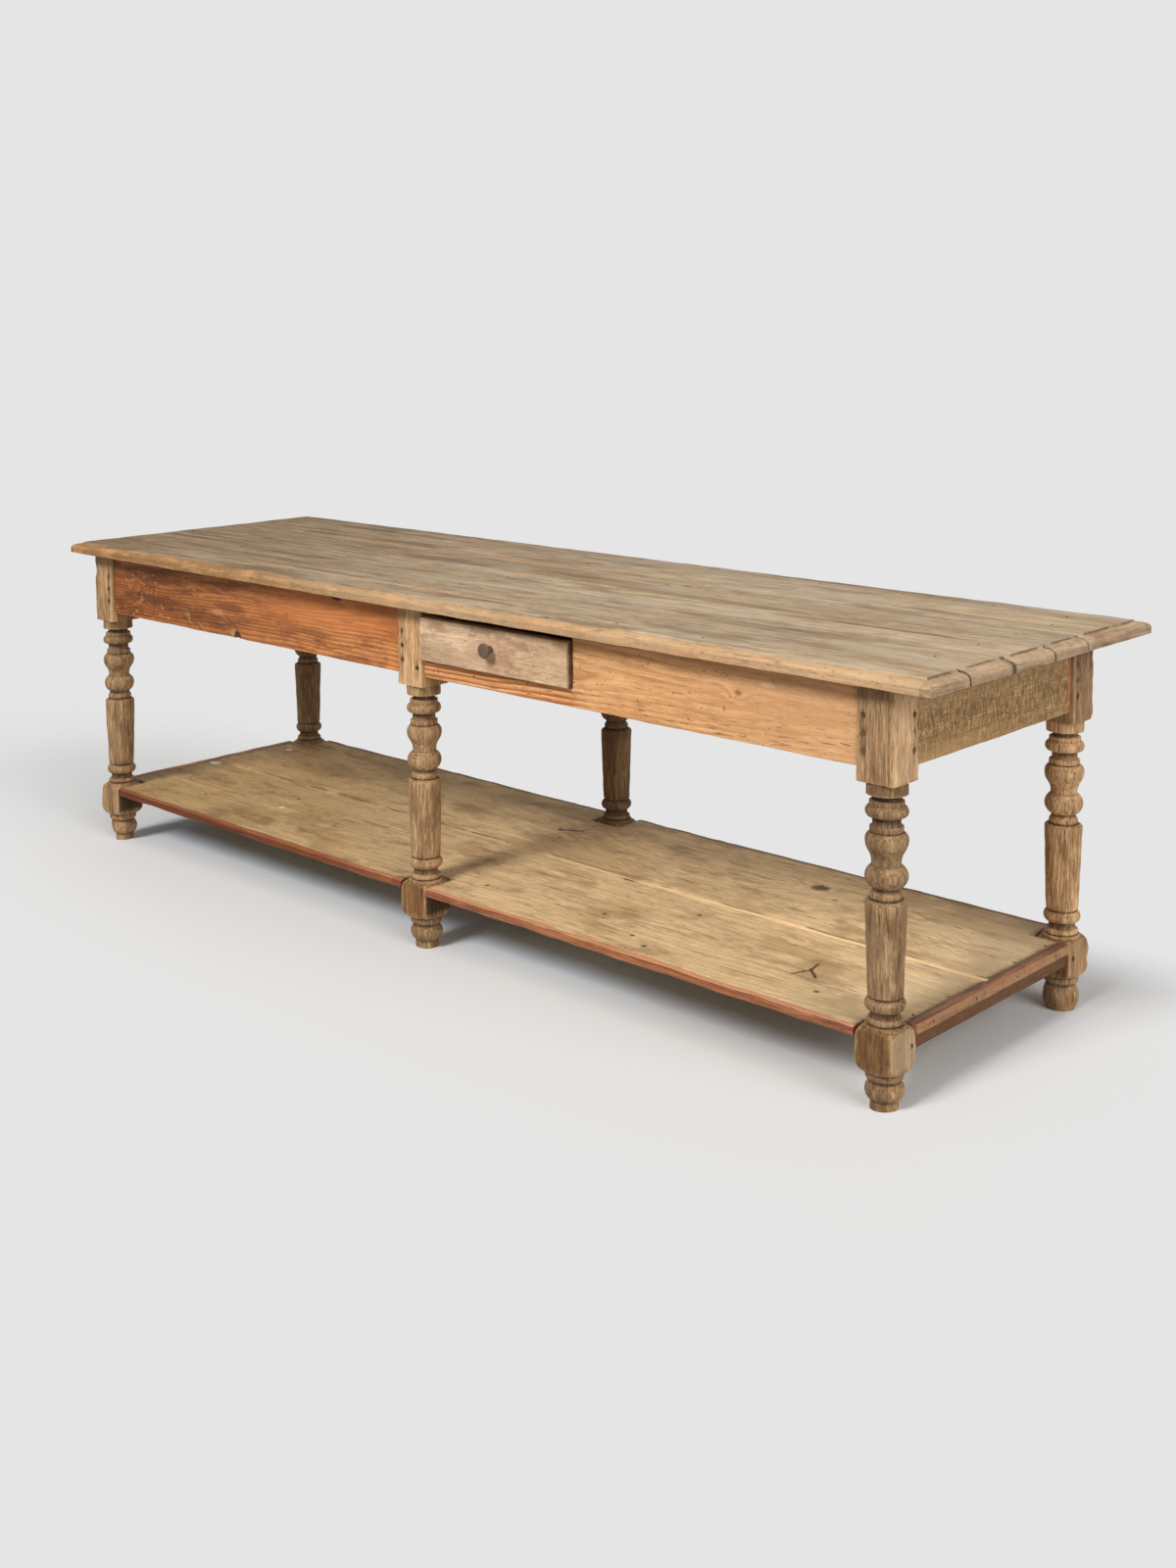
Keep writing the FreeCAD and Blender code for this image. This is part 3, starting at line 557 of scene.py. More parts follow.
class Board:
    """A board from low to high, its fibre along one axis and its face across another."""

    def __init__(self, low, high, along, face, cuts=(), step=0.02, near=NEAR, seed=0,
                 marks=((), ()), fine=((), ())):
        self.axes = (along, 3 - along - face, face)
        self.low, self.high, self.seed = [low[a] for a in self.axes], [high[a] for a in self.axes], seed
        edges_s = [v for c in cuts for v in c[:2]] + list(marks[0])
        edges_t = [v for c in cuts for v in c[2:]] + list(marks[1])
        s = ruled(self.low[0], self.high[0], step, near, edges_s, fine[0])
        t = ruled(self.low[1], self.high[1], min(step, STEP_ACROSS), near, edges_t, fine[1])
        self.s, self.t = np.meshgrid(s, t, indexing="ij")
        self.gaps = np.stack([self.s - s[0], s[-1] - self.s, self.t - t[0], t[-1] - self.t])
        self.ends = np.minimum(self.gaps[0], self.gaps[1])
        middle_s, middle_t = np.meshgrid((s[1:] + s[:-1]) / 2, (t[1:] + t[:-1]) / 2, indexing="ij")
        self.kept = np.ones(middle_s.shape, bool)
        self.edge = self.gaps.min(0)
        for a, b, c, d in cuts:
            self.kept &= ~((middle_s > a) & (middle_s < b) & (middle_t > c) & (middle_t < d))
            out_s = np.maximum(np.maximum(a - self.s, self.s - b), 0)
            out_t = np.maximum(np.maximum(c - self.t, self.t - d), 0)
            self.edge = np.minimum(self.edge, np.hypot(out_s, out_t))
        self.front = np.full(self.s.shape, self.high[2])
        self.back = np.full(self.s.shape, self.low[2])
        self.wear = np.exp(-self.edge / 0.003)
        self.grime_and_shade = np.zeros(self.s.shape)

    def spots(self, depth=0.0):
        """The grid's points in the board's own space, for waves to run through."""
        return np.stack([self.s, self.t, np.full(self.s.shape, depth)], -1)

    def worn(self, arris=0.0016, dents=0.00035):
        """Round the edges by an uneven radius and let the faces wave a little."""
        for side, layer in ((-1, "front"), (1, "back")):
            radius = arris * (1.0 + 0.55 * wander(self.spots(side), 0.06, self.seed + 5 + side))
            inside = np.clip(1 - self.edge / radius, 0, 1)
            fall = radius * (1 - np.sqrt(np.clip(1 - inside ** 2, 0, 1)))
            wave = dents * (wander(self.spots(side), 0.11, self.seed + 9 + side) - 1.4)
            setattr(self, layer, getattr(self, layer) + side * (fall - wave))
        return self

    def nibbled(self, sides, amount=0.0012, pitch=0.09, nick=0.0):
        """Eat into chosen edges: 0 and 1 are the ends, 2 and 3 the long edges."""
        for side in sides:
            bite = amount * (0.8 + 0.8 * wander(self.spots(), pitch, self.seed + 21 + side))
            chips = np.maximum(wander(self.spots(), 0.022, self.seed + 31 + side) - 0.9, 0)
            bite = np.maximum(bite, 0) + nick * chips
            push = bite * np.exp(-self.gaps[side] / 0.012) * (1 if side in (0, 2) else -1)
            if side < 2:
                self.s = self.s + push
            else:
                self.t = self.t + push
        return self

    def furrow(self, start, end, width, depth):
        """Sink a crack into the front, shallower toward its end. Places are along and across the board."""
        along, across = end[0] - start[0], end[1] - start[1]
        share = ((self.s - start[0]) * along + (self.t - start[1]) * across) / (along ** 2 + across ** 2)
        share = np.clip(share, 0, 1)
        gap = np.hypot(self.s - start[0] - share * along, self.t - start[1] - share * across)
        sunk = np.exp(-(gap / width) ** 2) * (1 - 0.7 * share)
        self.front = self.front - depth * sunk
        self.grime_and_shade = np.maximum(self.grime_and_shade, sunk)
        return self

    def mesh(self, name, pith, tilt, tone):
        """Join the two skins by a rim, and store the grain and the age."""
        count = self.s.size
        index = np.arange(count).reshape(self.s.shape)
        local = [np.stack([self.s, self.t, layer], -1).reshape(-1, 3) for layer in (self.front, self.back)]
        age = np.stack([self.wear, self.grime_and_shade, np.full(self.s.shape, tone)], -1).reshape(-1, 3)
        i, j = np.nonzero(self.kept)
        cells = np.stack([index[i, j], index[i + 1, j], index[i + 1, j + 1], index[i, j + 1]], -1)
        faces = cells.tolist() + (cells[:, ::-1] + count).tolist()
        rim_points, rim_faces = self.rim(index, local)
        points = np.concatenate([*local, rim_points[0]])
        ages = np.concatenate([age, age, age[rim_points[1]]])
        faces += rim_faces
        used = np.unique(np.concatenate([np.ravel(f) for f in (cells, cells + count, rim_faces)]))
        renumber = np.full(len(points), -1)
        renumber[used] = np.arange(len(used))
        points, ages = points[used], ages[used]
        grain = points - np.array([0.0, pith[0], pith[1]])
        grain[:, 1] -= tilt[0] * points[:, 0]
        grain[:, 2] -= tilt[1] * points[:, 0]
        grain[:, 0] += BOARD_SHIFT * self.seed
        space = np.empty_like(points)
        space[:, list(self.axes)] = points
        return skin(name, space, renumber[np.array(faces)].tolist(), {"grain": grain, "age": ages})

    def hang(self, name, slot, body, node, pith, tilt=(0.0, 0.0), tone=0.0):
        """Make the mesh and hang it on its body."""
        return put(self.mesh(name, pith, tilt, tone), name, slot, body, node)

    def rim(self, index, local):
        """Rows of points down the edge faces, between the front skin and the back."""
        padded = np.pad(self.kept, 1)
        edges = []
        for i, j in zip(*np.nonzero(self.kept)):
            corners = index[i, j], index[i + 1, j], index[i + 1, j + 1], index[i, j + 1]
            beside = padded[i + 1, j], padded[i + 2, j + 1], padded[i + 1, j + 2], padded[i, j + 1]
            edges += [(corners[k], corners[(k + 1) % 4]) for k in range(4) if not beside[k]]
        around = sorted({p for e in edges for p in e})
        count, rows = self.s.size, len(RIM_SHARES)
        start = {p: 2 * count + rows * n for n, p in enumerate(around)}
        points = [local[0][p] * (1 - share) + local[1][p] * share for p in around for share in RIM_SHARES]
        faces = []
        for a, b in edges:
            down_a = [a, *range(start[a], start[a] + rows), a + count]
            down_b = [b, *range(start[b], start[b] + rows), b + count]
            faces += [[down_a[k], down_a[k + 1], down_b[k + 1], down_b[k]] for k in range(rows + 1)]
        return (np.array(points).reshape(-1, 3), np.repeat(np.array(around, int), rows)), faces


print("boards ready")

# %% [markdown]
# ## The top
# Six oak planks, scrubbed grey over the years, with brown streaks where the joints have kept their oil.
# The edge carries a thumbnail moulding: a rounded slope below a small step. Hands have worn it bare along
# the front, so it is warmer and paler there.

# %% Oak for the top
TOP_FACE = 0.8
TOP_KNOTS = (
    ((0.351, -0.124, TOP_FACE), (0.030, 0.011, 0.05)), ((0.374, 0.107, TOP_FACE), (0.024, 0.010, 0.05)))
TOP_PATINAS = (
    ((128, 94, 58), 0.62, (1.1, 0.06), 0.5, 0.62), ((182, 168, 146), 0.5, (0.4, 0.07), 0.47, 0.58),
    ((92, 66, 40), 0.55, (0.3, 0.012), 0.58, 0.67), ((118, 94, 64), 0.55, (0.5, 0.12), 0.5, 0.62),
    ((208, 192, 166), 0.5, (0.3, 0.022), 0.53, 0.65), ((70, 50, 32), 0.75, (0.014, 0.0045), 0.66, 0.72))
TOP_SPOTS = (
    ((0.131, -0.318, TOP_FACE), (0.16, 0.012, 0.05), (116, 80, 46), 0.6),
    ((0.983, -0.029, TOP_FACE), (0.20, 0.010, 0.05), (104, 74, 46), 0.6))
END_STREAKS = (((112, 74, 52), (0.012, 0.16, 0.005), 0.55), ((212, 184, 150), (0.02, 0.09, 0.007), 0.4))
OPEN_JOINTS = ((-0.273, 0.0022), (-0.128, 0.0075), (0.018, 0.0022), (0.141, 0.0022))
OILED_JOINT = 0.141


def oak_for_top():
    wood = Wood("top_oak", (192, 167, 133), (146, 119, 86), ring=0.0062, contrast=0.55, waver=0.02,
                streak=0.5, pore=0.5, line=0.45, knots=TOP_KNOTS)
    wood.marked(TOP_PATINAS)
    wood.patina((104, 84, 58), wood.x.rise(-0.1, -0.7) * 0.4, (0.6, 0.034), 0.5, 0.6)
    wood.patina((208, 190, 164), wood.x.rise(-0.1, -0.7) * 0.45, (0.5, 0.028), 0.54, 0.64)
    wood.checks(0.85)
    wood.stain((214, 190, 156), wood.x.rise(0.8, 1.3) * 0.22)
    wood.wash((203, 195, 182), wood.border((0.4, 0.3, 0.3), 0.12, 0.7, -1.4))
    wood.marked(spots=TOP_SPOTS)
    wood.scratch((0.545, -0.391), (0.61, -0.384), 0.0012, 0.9)
    wood.weather((210, 168, 122), (80, 54, 34))
    oiled = wood.seam(OILED_JOINT, 0.05, 0.002, 0.0045)
    wood.stain((206, 142, 96), oiled * wood.x.rise(-1.2, -0.9) * wood.x.rise(0.5, 0.1) * 0.7)
    moulded = wood.x.size().rise(1.3055, 1.308)
    wood.stain((160, 130, 100), moulded * 0.5)
    for colour, pitch, amount in END_STREAKS:
        wood.stain(colour, moulded * wood.blots(pitch, 0.51, 0.63) * amount)
    for joint, width in OPEN_JOINTS:
        wood.crack(wood.seam(joint, 0.02, 0.003, width) * wood.x.rise(1.290, 1.310) * 0.85)
    nose = wood.y.rise(-0.371, -0.378)
    wood.wash((202, 184, 156), nose * wood.x.rise(0.3, -0.9) * 0.9)
    warm = nose * wood.blots((0.09, 0.02, 0.02), 0.48, 0.6)
    wood.stain((226, 168, 116), warm * wood.x.rise(1.32, 1.2) * 0.38)
    wood.stain((156, 122, 86), nose * wood.blots((0.03, 0.01, 0.008), 0.52, 0.64, 5.0, 0.7) * 0.45)
    wood.crack(nose * wood.blots((0.012, 0.005, 0.004), 0.66, 0.72, 3.0, 0.6) * 0.8)
    return wood.close(rough=0.68)


finishes["top_oak"] = oak_for_top()
print("finish", finishes["top_oak"].name)

# %% Six planks
MOULD_REACH, MOULD_SQUARE, MOULD_QUIRK = 0.025, 0.013, 0.0045
PLANK_TONES = (0.06, -0.05, 0.05, -0.09, 0.0, -0.12)
MOULD_LINES = (0.0006, 0.0015, 0.003, 0.005, 0.008, 0.012, 0.0165,
               0.021, 0.0242, 0.0252, 0.027, 0.031, 0.038)
QUIRK_PLACE, QUIRK_WIDTH = 0.0258, 0.0019


def thumbnail(gap, thick, quirk):
    """How far the moulded edge lies below the top, at a distance in from the edge."""
    slope = np.clip(1 - gap / MOULD_REACH, 0, 1)
    rise = thick - MOULD_SQUARE - quirk
    return np.where(gap < MOULD_REACH - 1e-4, quirk + rise * (1 - np.sqrt(1 - slope ** 2)), 0.0)


def end_splits(low, high, number):
    """Cracks that run in from the plank's ends, two on the right and one on the left."""
    dice = np.random.default_rng(number + 80)
    splits = []
    for end, way in ((high.x, -1), (high.x, -1), (low.x, 1)):
        place = dice.uniform(low.y + 0.02, high.y - 0.02)
        splits.append(((end, place), (end + way * dice.uniform(0.03, 0.14), place)))
    return splits


def plank(number):
    low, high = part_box(f"top_plank_{number}")
    splits = end_splits(low, high, number)
    beside = [start[1] + gap for start, end in splits for gap in (-0.0016, -0.0008, 0.0, 0.0008, 0.0016)]
    board = Board(low, high, 0, 2, step=0.024, near=MOULD_LINES, seed=number, fine=((), beside))
    sides = [0, 1] + ([2] if number == 1 else []) + ([3] if number == 6 else [])
    gap = np.min([board.gaps[k] for k in sides], axis=0)
    board.edge = np.where(gap < board.edge + TINY, 1.0, board.edge)
    board.worn(arris=0.0006, dents=0.0004)
    quirk = MOULD_QUIRK * np.clip(0.75 + 0.35 * wander(board.spots(), 0.35, 40 + number), 0.25, 1.0)
    board.front = board.front - thumbnail(gap, high.z - low.z, quirk)
    joints = np.min([board.gaps[k] for k in (2, 3) if k not in sides], axis=0)
    at_end = gap < np.minimum(board.gaps[2], board.gaps[3]) + TINY
    dirt_and_shade = np.where(board.gaps[2] <= gap + TINY, 0.12, np.where(at_end, 1.1, 0.4))
    quirk_dirt = dirt_and_shade * np.exp(-((gap - QUIRK_PLACE) / QUIRK_WIDTH) ** 2)
    board.grime_and_shade = 0.6 * np.exp(-joints / 0.004) + quirk_dirt
    for start, end in splits:
        board.furrow(start, end, 0.0009, 0.0024)
    front_edge = (gap == board.gaps[2]) & (number == 1)
    board.wear = np.where(gap < 0.024, np.where(front_edge, 0.85, 0.45), 0.0)
    board.nibbled(sides, amount=0.0006, pitch=0.3, nick=0.0025)
    dice = np.random.default_rng(number + 60)
    middle = (low.y + high.y) / 2
    pith = (middle + dice.uniform(-0.05, 0.05), low.z - dice.uniform(0.03, 0.11))
    tilt = (dice.uniform(-0.012, 0.012), dice.uniform(-0.03, 0.03))
    tone = PLANK_TONES[number - 1]
    return board.hang(f"plank_{number}", "top_oak", "table", f"top_plank_{number}", pith, tilt, tone)


planks = [plank(n) for n in range(1, 7)]
print("planks", [len(p.data.vertices) for p in planks])

# %% [markdown]
# ## The legs
# Each leg was turned from one square of oak, with the square left whole at the joints. The turned outline
# is read off the measured leg by casting rays at its corner line, so that it agrees with the solid, and a
# ring of points at each height is drawn in to the smaller of the turning and the square.

# %% Oak for the legs
BLOCK_LOW, CUBE_TOP = 0.592, 0.152
LEG_PATINAS = (
    ((120, 87, 55), 0.62, (0.16, 0.04), 0.47, 0.6), ((212, 180, 140), 0.4, (0.05, 0.007), 0.52, 0.63),
    ((70, 48, 30), 0.62, (0.09, 0.0042), 0.56, 0.65))


def oak_for_legs():
    wood = Wood("leg_oak", (188, 150, 109), (140, 104, 67), ring=0.0034, contrast=0.6, waver=0.004,
                streak=0.42, pore=0.5, line=0.5)
    wood.marked(LEG_PATINAS)
    wood.checks(0.8, 0.22, 0.012)
    aside = wood.facing(0).size().rise(0.5, 0.85)
    in_front = wood.y.rise(0.0, -0.1)
    block = wood.z.rise(BLOCK_LOW, 0.6)
    cube = wood.z.rise(0.07, 0.085) * wood.z.rise(0.16, 0.14)
    wood.wash((224, 200, 164), cube * (0.85 - aside * 0.85) * wood.x.rise(-1.0, -0.3))
    wood.stain((196, 170, 136), cube * aside * wood.x.rise(1.0, 1.1) * in_front * 0.4)
    planed = wood.x.rise(1.2275, 1.2292) * block * in_front
    wood.stain((218, 188, 152), planed * 0.18)
    low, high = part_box("leg_front_middle")
    calm = wood.x.rise(low.x - 0.05, low.x - 0.01) * wood.x.rise(high.x + 0.05, high.x + 0.01) * block
    wood.stain((158, 122, 84), calm * in_front * 0.2)
    # Painted shadow of the shelf board on the right sides of the left and middle front cubes.
    painted_shelf_shadow = wood.z.rise(0.075, 0.09) * wood.z.rise(0.136, 0.126) * wood.facing(0).rise(0.4, 0.8)
    wood.stain((46, 30, 18), painted_shelf_shadow * wood.x.rise(0.3, 0.2) * in_front * 0.85)
    wood.weather((204, 166, 122), (52, 35, 22), wear=0.55, grime_and_shade=0.95)
    return wood.close(rough=0.7, relief=0.001)


finishes["leg_oak"] = oak_for_legs()
print("finish", finishes["leg_oak"].name)

# %% Read the turned outline
def turned_outline(node, step=0.0005):
    """Heights and radii along a leg's corner line, read off the measured solid."""
    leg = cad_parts[node]
    low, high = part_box(node)
    middle = (low + high) / 2
    way = Vector((-1, -1, 0)).normalized()
    heights = np.arange(low.z + 0.0002, high.z, step)
    radii = []
    for z in heights:
        axis_point = Vector((middle.x, middle.y, z))
        hit, where = leg.ray_cast(axis_point - way * 0.2, way)[:2]
        radii.append((where - axis_point).length if hit else radii[-1])
    return heights, np.array(radii)


def thinned(x, y, slack):
    """The points of a line that are needed to follow it within slack."""
    keep, work = {0, len(x) - 1}, [(0, len(x) - 1)]
    while work:
        a, b = work.pop()
        if b - a < 2:
            continue
        away = np.abs(y[a:b] - np.interp(x[a:b], [x[a], x[b]], [y[a], y[b]]))
        worst = a + int(away.argmax())
        if away.max() > slack or x[b] - x[a] > 0.012:
            worst = worst if away.max() > slack else (a + b) // 2
            keep.add(worst)
            work += [(a, worst), (worst, b)]
    return sorted(keep)


OUTLINE_SLACK = 0.00025
outline = turned_outline("leg_front_right")
print("outline points", len(thinned(*outline, OUTLINE_SLACK)), "of", len(outline[0]))

# %% Turn a leg
HALF_BLOCK = 0.040
SQUARENESS = 40
CRACK_SHARE = 0.625


def ring_angles():
    """Angles round a square block: close at the corners and beside the crack line."""
    beside_crack = [CRACK_SHARE - 0.022, CRACK_SHARE, CRACK_SHARE + 0.022]
    half = [0.0, 0.14, 0.28, 0.42, 0.55, *beside_crack, 0.72, 0.82, 0.9, 0.95, 0.98]
    side = np.arctan(np.array([-v for v in half[:0:-1]] + half + [1.0]))
    return np.concatenate([side + k * math.pi / 2 for k in range(4)])


def swing(turn, toward):
    """The angle from one heading to another, from minus half a turn to half a turn."""
    return (turn - toward + math.pi) % (2 * math.pi) - math.pi


def cracks(turn, level, spots, strips, seed):
    """Cracks down the leg, and smears round the pegs. A strip is a face, a side of it and two heights."""
    groove, smear = np.zeros(turn.shape), np.zeros(turn.shape)
    for face, side, low, high in strips:
        within = np.clip((level - low) / 0.01, 0, 1) * np.clip((high - level) / 0.01, 0, 1)
        across = np.tan(np.clip(swing(turn, face * math.pi / 2), -1.2, 1.2)) * side
        line = np.abs(across - CRACK_SHARE) < 0.004
        groove += line * within * np.clip(0.6 + 0.6 * wander(spots, 0.12, seed + 50 + face), 0, 1)
        for peg in PEG_HEIGHTS:
            smear += within * np.exp(-((across - 0.62) / 0.16) ** 2 - ((level - peg) / 0.013) ** 2) * 0.9
    return groove, np.clip(smear, 0, 1)


def chipped(turn, level, toward, top, depth):
    """A share to draw the foot in by: a break that faces toward an angle and starts below a height."""
    facing = np.exp(-(swing(turn, toward) / 0.7) ** 2)
    return 1 - depth * facing * np.clip((top - level) / 0.03, 0, 1)


def leg_tone(turn, level, cube, column, block):
    """How much lighter or darker the wood is; cube and block give a front and a side."""
    side = np.abs(np.cos(turn)) > np.abs(np.sin(turn))
    tone = np.where(level > BLOCK_LOW, np.where(side, block[1], block[0]), column)
    return np.where(level < CUBE_TOP, np.where(side, cube[1], cube[0]), tone)


def turn_leg(node, seed, pith, tones, strips, foot=None):
    low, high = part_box(node)
    middle = (low + high) / 2
    heights, radii = turned_outline(node)
    soft = np.convolve(np.pad(radii, 3, mode="edge"), np.ones(7) / 7, "valid")
    soft = np.where(radii > 0.05, radii, np.minimum(soft, radii + 0.0004))
    keep = thinned(heights, soft, OUTLINE_SLACK)
    z, r = heights[keep], soft[keep]
    z[0], z[-1] = low.z, high.z
    turn, level = np.meshgrid(ring_angles(), z)
    corners = np.abs(np.cos(turn)) ** SQUARENESS + np.abs(np.sin(turn)) ** SQUARENESS
    square = HALF_BLOCK / corners ** (1 / SQUARENESS)
    reach = np.minimum(r[:, None], square)
    spots = np.stack([reach * np.cos(turn), reach * np.sin(turn), level], -1)
    corner = np.clip((square / HALF_BLOCK - 1.2) / 0.18, 0, 1) * (reach > 0.044)
    reach = reach - corner * 0.0016 * np.maximum(0.6 + wander(spots, 0.03, seed), 0)
    reach = reach - 0.0005 * (1 + wander(spots, 0.05, seed + 1))
    groove, smear = cracks(turn, level, spots, strips, seed)
    reach = reach - 0.0024 * groove
    if foot:
        reach = reach * chipped(turn, level, *foot)
    points = np.stack([middle.x + reach * np.cos(turn), middle.y + reach * np.sin(turn), level], -1)
    window = z[:, None] + np.linspace(-0.008, 0.008, 13)
    around = np.interp(window, heights, np.minimum(radii, HALF_BLOCK)).mean(1)
    proud = np.minimum(r, HALF_BLOCK) - around
    wear = np.clip(proud / 0.004, 0, 1)[:, None] * 0.7 + corner * 0.8
    # The hollows of the turning, the cracks and the smears round the pegs are darkened: dirt, and painted
    # shade in the hollows.
    grime_and_shade = np.maximum(0.85 * np.clip(-proud / 0.0028, 0, 1)[:, None], np.maximum(groove, smear))
    return leg_mesh(node, points, wear, grime_and_shade, pith, seed, leg_tone(turn, level, *tones))


def leg_mesh(node, points, wear, grime_and_shade, pith, seed, tone):
    """Sew the rings into a closed skin."""
    rows, count = points.shape[:2]
    flat = points.reshape(-1, 3)
    faces = []
    for row in range(rows - 1):
        a, b = row * count + np.arange(count), row * count + (np.arange(count) + 1) % count
        faces += np.stack([a, b, b + count, a + count], -1).tolist()
    faces += [list(range(count))[::-1], list(range((rows - 1) * count, rows * count))]
    across = flat[:, :2] - flat.mean(0)[:2] - np.array(pith)
    grain = np.column_stack([flat[:, 2] + seed * LEG_SHIFT, across])
    age = np.stack([wear.ravel(), grime_and_shade.ravel(), tone.ravel()], -1)
    mesh = skin(f"{node}_turned", flat, faces, {"grain": grain, "age": age})
    return put(mesh, f"{node}_turned", "leg_oak", "table", node)


PEG_HEIGHTS = (0.649, 0.6805, 0.712)
BLOCK = (0.597, 0.79)
# A leg's seed, its pith, the tones of cube, column and block, its cracks, and any break in its foot.
# The tones are partly painted light: the back right column is lighter against the front right leg's shadow,
# and the back left and middle legs are darker as painted shade under the top.
LEGS = {
    "leg_front_left": (
        3, (0.05, 0.03), ((-0.14, -0.05), -0.09, (0.16, 0.16)),
        [(3, 1, *BLOCK), (3, 1, 0.2, 0.36)], (3.9, 0.05, 0.5)),
    "leg_front_middle": (
        4, (-0.01, 0.035), ((-0.26, -0.16), 0.04, (0.7, 0.42)),
        [(3, -1, *BLOCK), (3, 1, 0.6, 0.656), (3, 1, 0.19, 0.44)], (4.6, 0.05, 0.1)),
    "leg_front_right": (
        5, (-0.06, 0.05), ((-0.43, -0.06), -0.28, (0.0, 0.5)),
        [(3, -1, *BLOCK), (0, 1, *BLOCK), (0, 1, 0.06, 0.16)], (5.6, 0.03, 0.14)),
    "leg_back_left": (
        6, (0.02, -0.05), ((-0.45, -0.45), -0.4, (-0.4, -0.4)), [(1, -1, *BLOCK)]),
    "leg_back_middle": (
        7, (0.04, 0.04), ((-0.5, -0.5), -0.5, (-0.4, -0.4)), [(1, 1, *BLOCK), (1, -1, *BLOCK)]),
    "leg_back_right": (
        8, (0.03, 0.05), ((-0.2, -0.05), 0.5, (-0.1, -0.1)),
        [(1, 1, *BLOCK), (0, -1, *BLOCK), (0, -1, 0.2, 0.53)])}
legs = [turn_leg(node, *made) for node, made in LEGS.items()]
print("legs", [len(leg.data.vertices) for leg in legs])

# %% [markdown]
# ## The aprons
# The aprons are not one set. The left front one is a red, knotty pine with a mouse hole in its lower edge,
# the right front one an orange pine with wide arches, cut out for the drawer, and the ends are oak
# straight from the saw.

# %% Pine and oak for the aprons
APRON_FACE = -0.349
RED_KNOTS = (
    ((-1.08, APRON_FACE, 0.681), (0.020, 0.03, 0.015)), ((-0.469, APRON_FACE, 0.698), (0.012, 0.03, 0.009)))
ORANGE_KNOTS = (((0.884, APRON_FACE, 0.709), (0.012, 0.03, 0.008)),)
RED_SCUFFS = (
    ((-0.743, APRON_FACE, 0.672), (0.03, 0.1, 0.008), (214, 164, 114), 0.45),
    ((-0.69, APRON_FACE, 0.69), (0.07, 0.1, 0.012), (92, 52, 30), 0.6))
RED_HOLES = (
    ((-0.680, APRON_FACE, 0.628), (0.012, 0.1, 0.012), (214, 158, 108), 0.5),
    ((-0.664, APRON_FACE, 0.620), (0.015, 0.1, 0.020), (34, 22, 14), 0.95),
    ((-0.283, APRON_FACE, 0.758), (0.022, 0.1, 0.006), (24, 16, 11), 0.95))
SAW_PITCH = 0.0085


def red_pine():
    wood = Wood("apron_red_pine", (224, 149, 88), (156, 88, 46), ring=0.0075, contrast=0.75, waver=0.02,
                streak=0.3, pore=0.2, line=0.26, knots=RED_KNOTS)
    wood.patina((120, 66, 36), 0.65, (0.22, 0.05), 0.48, 0.6)
    far_left = wood.border((0.2, 0.2, 0.2), 0.15, -0.25, -1.05)
    wood.wash((188, 172, 148), far_left)
    scuffs = wood.blots((0.026, 0.026, 0.012), 0.57, 0.64, 5.0, 0.7)
    wood.stain((208, 158, 108), scuffs * (far_left * 0.5 + 0.04))
    wood.marked(spots=RED_SCUFFS)
    uneven = wood.cloud((0.3, 0.3, 0.04), where=wood.place)
    smooth = (wood.z + uneven * 0.02).rise(0.665, 0.7) * wood.x.rise(-0.7, -0.4)
    wood.stain((206, 124, 68), smooth * 0.55)
    wood.marked(spots=RED_HOLES)
    wood.scratch((-1.02, 0.628), (-1.016, 0.752), 0.0018, 0.55, (0, 2))
    wood.checks(0.6, 0.3, 0.01)
    wood.weather((220, 160, 108), (64, 36, 22), wear=0.5)
    return wood.close(rough=0.55)


def orange_pine():
    wood = Wood("apron_pine", (236, 180, 124), (196, 132, 78), ring=0.009, contrast=0.62, waver=0.016,
                streak=0.24, pore=0.2, line=0.24, knots=ORANGE_KNOTS)
    wood.patina((196, 136, 84), 0.55, (0.3, 0.05), 0.48, 0.62)
    wood.worms(0.7, 0.785)
    wood.patina((226, 190, 150), 0.4, (0.12, 0.02), 0.56, 0.66)
    wood.stain((230, 182, 134), wood.x.rise(0.7, 1.1) * 0.4)
    wood.wash((206, 142, 92), wood.late * wood.z.rise(0.658, 0.652) * wood.x.rise(0.52, 0.45) * 0.9)
    dashes = wood.blots((0.05, 0.0036, 0.0036), 0.58, 0.66, 3.0, 0.6, wood.grain)
    wood.stain((128, 76, 42), dashes * (wood.z.rise(0.73, 0.64) * 0.6 + 0.12))
    wood.spot((0.952, APRON_FACE, 0.733), (0.02, 0.1, 0.006), (240, 206, 164), 0.7)
    wood.weather((232, 190, 142), (104, 64, 36), wear=0.5)
    return wood.close(rough=0.56)


